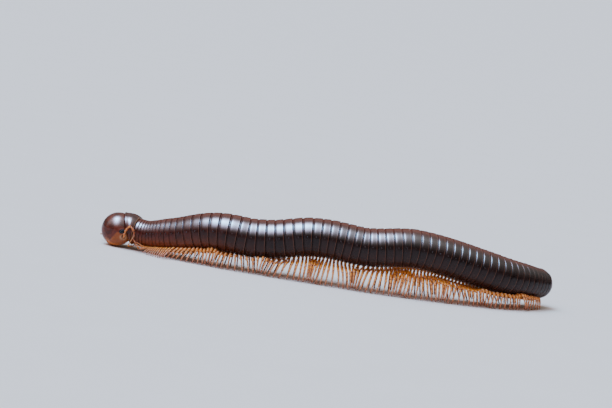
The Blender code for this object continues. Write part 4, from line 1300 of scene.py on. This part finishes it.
def make_feeler(side, word):
    """A feeler of seven segments: narrow at each joint and club-like towards the tip.

    It has sense cones at the tip and a few bristles.
    """
    here, normal = head_place(SOCKET_DIRECTION, side)
    base = in_head(here - normal * (SOCKET_DEPTH - GAP))
    out = in_head(here + normal * FEELER_RISE)
    _, tailward, left, _ = axis_frames(0.0)
    turns = np.array(LEFT_FEELER_TURNS if side > 0 else RIGHT_FEELER_TURNS)
    turned = in_head(here) + turns[:, 1:2] * tailward + turns[:, 2:] * left * side
    turned[:, 2] += turns[:, 0]
    line, run = smooth_route(np.vstack([base, out, turned]))
    spans = np.diff(FEELER_JOINTS)
    shares = (FEELER_JOINTS[:-1, None] + spans[:, None] * SEGMENT_OUTLINE[:, 0]).reshape(-1)
    shares = shares + np.tile(np.linspace(-JOINT_OVERLAP, JOINT_OVERLAP, len(SEGMENT_OUTLINE)), len(spans))
    centres = on_line(shares * min(FEELER_LENGTH, run[-1]), run, line)
    ways = unit(np.gradient(centres, axis=0))
    radii = FEELER_RADIUS * np.interp(shares, CLUB_AT, CLUB) * np.tile(SEGMENT_OUTLINE[:, 1], len(spans))
    tube = closed_tubes(rows_round(centres, ways, FEELER_HINT, radii, FEELER_COLUMNS)[None], shares)
    tip, way = centres[-1], ways[-1]
    across = unit(np.cross(way, FEELER_HINT))
    quarter = corner_angles(CONES, offset=0.5)[:, None]
    roots = tip + CONE_SPREAD * (np.cos(quarter) * across + np.sin(quarter) * np.cross(way, across))
    cones = rows_round(roots[:, None] + way * CONE_HEIGHTS[:, None], way, across, CONE_RADII, 8)
    piece = put_mesh(f"feeler_{word}", *join([tube, closed_tubes(cones, 1.0)]))
    finish(piece, "feeler_cuticle", FEELER_FINISH, f"antenna_{word}")
    draw = np.random.default_rng(41 if side > 0 else 42)
    at = np.sort(draw.uniform(0.08, 0.97, FEELER_BRISTLE_COUNT))
    spot = on_line(at, shares, centres)
    spot_way = unit(on_line(at, shares, ways))
    hint = np.cross(spot_way, FEELER_HINT)
    thick = np.interp(at, shares, radii)
    name = f"feeler_bristles_{word}"
    put_limb_bristles(name, "feeler_cuticle", draw, spot, spot_way, hint, thick, FEELER_BRISTLES)


# Collar and tail

COLLAR_COLUMNS = 160
COLLAR_ROWS = 61
# The collar's outline from the head to the first ring: shares of its length and of its radius.
COLLAR_SHARES = (0.0, 0.004, 0.03, 0.075, 0.11, 0.15, 0.30, 0.45, 0.60, 0.75, 0.88, 0.95, 0.985, 1.0)
COLLAR_REACH = (
    0.955, 0.985, 1.0, 1.0, 0.984, 0.984, 0.996, 1.0, 0.992, 0.965, 0.925, 0.902, 0.890, 0.850
)
LOBE_EDGE = 52.0
LOBE_DEPTH = 0.00042
LOBE_RIM = 0.00008
STRIPES_AT = (24.0, 34.0, 43.0)
STRIPE_DEPTH = 0.00007
BEAD_GROOVE_AT = 0.112


def make_collar():
    """The collar plate: rows from behind the head to the first ring, a bead along the front, and lobes.

    A row's radius is the outline's share of the collar's. Below the lobes' edges the skin sinks in, and
    three stripes run along each side.
    """
    centre, forward, left, up = head_frame()
    front = centre - forward * (HEAD_BACK_DEPTH + GAP)
    rear, _, rear_left, rear_up = axis_frames(COLLUM_LENGTH)
    steps = np.linspace(0, 1, len(COLLAR_SHARES))
    share = np.interp(np.linspace(0, 1, COLLAR_ROWS), steps, COLLAR_SHARES)
    reach = COLLUM_RADIUS * np.interp(share, COLLAR_SHARES, COLLAR_REACH)[:, None]
    share = share[:, None]
    turns = corner_angles(COLLAR_COLUMNS, start=-np.pi / 2)
    below = np.degrees(np.arcsin(np.clip(-np.sin(turns), -1.0, 1.0)))
    sunk = ease(below, LOBE_EDGE, LOBE_EDGE + 5.0)
    stripes = sum(groove(below - (level + 5.0 * share), 1.1) for level in STRIPES_AT)
    stripes = stripes * ease(share, 0.16, 0.30) * (1.0 - sunk)
    radius = reach * (1.0 - 0.03 * np.clip(-np.sin(turns), 0.0, 1.0)) - LOBE_DEPTH * sunk
    radius = radius - STRIPE_DEPTH * stripes + LOBE_RIM * groove(below - (LOBE_EDGE - 2.0), 2.0)
    across = unit(between(left, rear_left, share))
    upward = unit(between(up, rear_up, share))
    rows = rows_about(between(front, rear, share), across, upward, radius, turns)
    piece = put_tubes("collar_plate", rows[None], share[:, 0], "trunk_cuticle", COLLAR_FINISH, "collum")
    amber = 0.55 * ease(below, 8.0, 40.0)
    pale = np.maximum(0.5 * ease(share, 0.93, 0.985), 0.55 * sunk)
    # Painted shade: dark in the stripes, in the bead's groove and along the front edge, in the gap behind
    # the head.
    seam = 0.5 * stripes + 0.8 * groove(share - BEAD_GROOVE_AT, 0.014) + 1.0 - ease(share, 0.0, 0.006)
    put_masks(piece, radius.shape, amber=amber, pale=pale, seam=np.clip(seam, 0, 1))


TAIL_SKIN_ROWS = 90
TAIL_COLUMNS = 200
VALVE_FROM = 0.54
VALVE_LIP_RISE = 0.00022
VALVE_SWELL = 0.00022
SLIT_DEPTH = 0.00032
RING_EDGE_DEPTH = 0.00012
PLATE_EDGE_DEPTH = 0.00010
HOOD_RISE = 0.00030


def make_tail():
    """The closed last ring: rows that shrink to the tip, a hood above, and two valves with raised lips.

    Seen from behind, the valves meet on the upright middle line. A groove parts them from the ring round
    them and from the small plate below. A narrower sleeve runs forward into the last ring, so that no light
    passes the joint.
    """
    share = 1.0 - (1.0 - np.linspace(0.0, 1.0, TAIL_SKIN_ROWS)) ** 1.25
    share = np.concatenate([np.array([-1.0, -0.01]) * SLEEVE_LENGTH / TAIL_LENGTH, share * 0.985])
    turns = corner_angles(TAIL_COLUMNS, start=-np.pi / 2)
    centre, tailward, left, up = axis_frames(TRUNK_END + GAP + share * TAIL_LENGTH)
    reach = (tail_reach(share) * np.where(share < 0.0, SLEEVE_SHARE, 1.0))[:, None]
    share = share[:, None]
    wide = np.abs(reach * np.cos(turns)) / TAIL_REACH
    high = (reach * np.sin(turns)) / TAIL_REACH
    on_valves = ease(share, 0.50, 0.58) * ease(high, -0.62, -0.50) * (1.0 - ease(high, 0.60, 0.74))
    lips = groove(wide - 0.045, 0.030) * on_valves
    slit = groove(wide, 0.014) * on_valves
    ring_edge = groove(share - VALVE_FROM, 0.018) * ease(high, -0.95, -0.80)
    plate_edge = groove(high + 0.56, 0.022) * ease(share, 0.52, 0.58)
    hood = ease(high, 0.30, 0.75) * groove(share - 0.62, 0.20)
    rise = VALVE_LIP_RISE * lips + VALVE_SWELL * groove(wide - 0.34, 0.24) * on_valves + HOOD_RISE * hood
    rise = rise - SLIT_DEPTH * slit - RING_EDGE_DEPTH * ring_edge - PLATE_EDGE_DEPTH * plate_edge
    outward = np.cos(turns)[:, None] * left[:, None] + np.sin(turns)[:, None] * up[:, None]
    tilt = share[..., None] ** 3
    outward = unit(outward * (1.0 - 0.85 * tilt) + tailward[:, None] * tilt)
    rows = rows_about(centre, left, up, reach, turns) + rise[..., None] * outward
    piece = put_tubes("tail_ring", rows[None], share[:, 0], "trunk_cuticle", COLLAR_FINISH, "tail")
    # Painted shade in the slit between the valves and in the grooves round them.
    seam = np.clip(0.9 * slit + 0.6 * ring_edge + 0.5 * plate_edge, 0, 1)
    put_masks(piece, rise.shape, amber=np.clip(0.5 * lips + 0.10 * on_valves, 0, 1), seam=seam)


# Stage, light and camera

STAGE_RADIUS = 14.0
STAGE_RINGS = 15
STAGE_SIDES = 72
# The glow in the sky: angles about the line along the body at which it rises and falls again, its middle
# and edges along that line, and the fainter and wider skirt round it.
SKY_RISE = (12.0, 80.0)
SKY_FALL = (116.0, 76.0)
SKY_MIDDLE = -0.31
SKY_EDGES = (0.40, 0.0)
SKY_SKIRT_EDGES = (1.15, 0.1)
SKY_SKIRT_SHARE = 0.20
SKY_GLOW = 5.0
SKY_CORE = 36.0
SKY_CORE_POWER = 2.6


def make_stage():
    """A pale level floor: a wide disc of rings of quads round a middle fan."""
    radius = np.concatenate([[0.05], np.geomspace(0.2, STAGE_RADIUS, STAGE_RINGS - 1)])[:, None]
    turns = corner_angles(STAGE_SIDES)
    rows = np.stack(np.broadcast_arrays(radius * np.cos(turns), radius * np.sin(turns), 0.0), axis=-1)
    points = np.vstack([rows.reshape(-1, 3), [0.0, 0.0, 0.0]])
    around = np.arange(STAGE_SIDES)
    after = (around + 1) % STAGE_SIDES
    starts = STAGE_SIDES * np.arange(STAGE_RINGS - 1)[:, None]
    a, b = (starts + around).reshape(-1), (starts + after).reshape(-1)
    quads = np.stack([a, a + STAGE_SIDES, b + STAGE_SIDES, b], axis=-1)
    middle = np.stack([around, after, np.full(STAGE_SIDES, len(points) - 1)], axis=-1)
    floor = put_mesh("studio_floor", points, [quads, middle])
    made, tree, shader = new_material("floor_finish", Roughness=0.7)
    pale = blend(tree, noise(tree, 40.0), (0.80, 0.70, 0.57), (0.83, 0.73, 0.60))
    feed_shader(tree, shader, Base_Color=pale)
    floor.data.materials.append(made)


def make_lights():
    """A soft studio sky: dim all round, with one broad glow high over the animal's left side.

    The glow lies above the fore half of the body and has a bright bluish core, its own strength to a power.
    """
    world = bpy.data.worlds.new("studio_sky")
    world.use_nodes = True
    tree = world.node_tree
    along, across, up = parts_of(tree, node(tree, "ShaderNodeTexCoord").outputs["Generated"])
    turn = maths(tree, "ARCTAN2", up, times(tree, across, -1.0))
    rise, fall = (stretch(tree, turn, *np.radians(angles).tolist()) for angles in (SKY_RISE, SKY_FALL))
    off = off_from(tree, along, SKY_MIDDLE)
    skirt = stretch(tree, off, *SKY_SKIRT_EDGES, 0.0, SKY_SKIRT_SHARE)
    middle = stretch(tree, off, *SKY_EDGES, 0.0, 1.0 - SKY_SKIRT_SHARE)
    glow = times(tree, rise, fall, maths(tree, "ADD", middle, skirt))
    core = maths(tree, "POWER", glow, SKY_CORE_POWER)
    dim = stretch(tree, up, 0.0, 0.9, 0.07, 0.32)
    strength = maths(tree, "MULTIPLY_ADD", glow, SKY_GLOW, maths(tree, "MULTIPLY_ADD", core, SKY_CORE, dim))
    tint = blend(tree, stretch(tree, glow, 0.0, 0.45), (1.0, 0.95, 0.92), (0.72, 0.66, 0.96))
    tint = blend(tree, stretch(tree, core, 0.0, 0.6), tint, (0.34, 0.62, 1.0))
    feed_shader(tree, tree.nodes["Background"], Color=tint, Strength=strength)
    bpy.context.scene.world = world


def make_camera():
    """The photograph's view: on the animal's left, a little from above, rolled with the slope."""
    elevation = math.radians(CAMERA_ELEVATION)
    target = Vector((SHIFT[0] + CAMERA_TARGET_ALONG, SHIFT[1] + CAMERA_TARGET_ACROSS, CAMERA_TARGET_HEIGHT))
    direction = Vector((0.0, -math.cos(elevation), math.sin(elevation)))
    data = bpy.data.cameras.new("camera")
    data.lens = CAMERA_LENS
    data.clip_start = 0.01
    camera = bpy.data.objects.new("camera", data)
    bpy.context.scene.collection.objects.link(camera)
    turn = (-direction).to_track_quat("-Z", "Y").to_matrix().to_4x4()
    turn = turn @ Matrix.Rotation(math.radians(CAMERA_ROLL), 4, "Z")
    camera.matrix_world = Matrix.Translation(target + direction * CAMERA_DISTANCE) @ turn
    bpy.context.scene.camera = camera


# First and last ring of each length of trunk.
LENGTHS = ((2, 11), (12, 18), (19, 25), (26, 32), (33, 39), (40, 46), (47, 53), (54, 61))

make_camera()
make_trunk()
make_pores()
make_belly_plates()
make_head()
make_lip_bristles()
make_collar()
make_tail()
for side, word in ((1, "left"), (-1, "right")):
    make_legs(side, word, LENGTHS)
    make_eye(side, word)
    make_feeler(side, word)
make_stage()
make_lights()
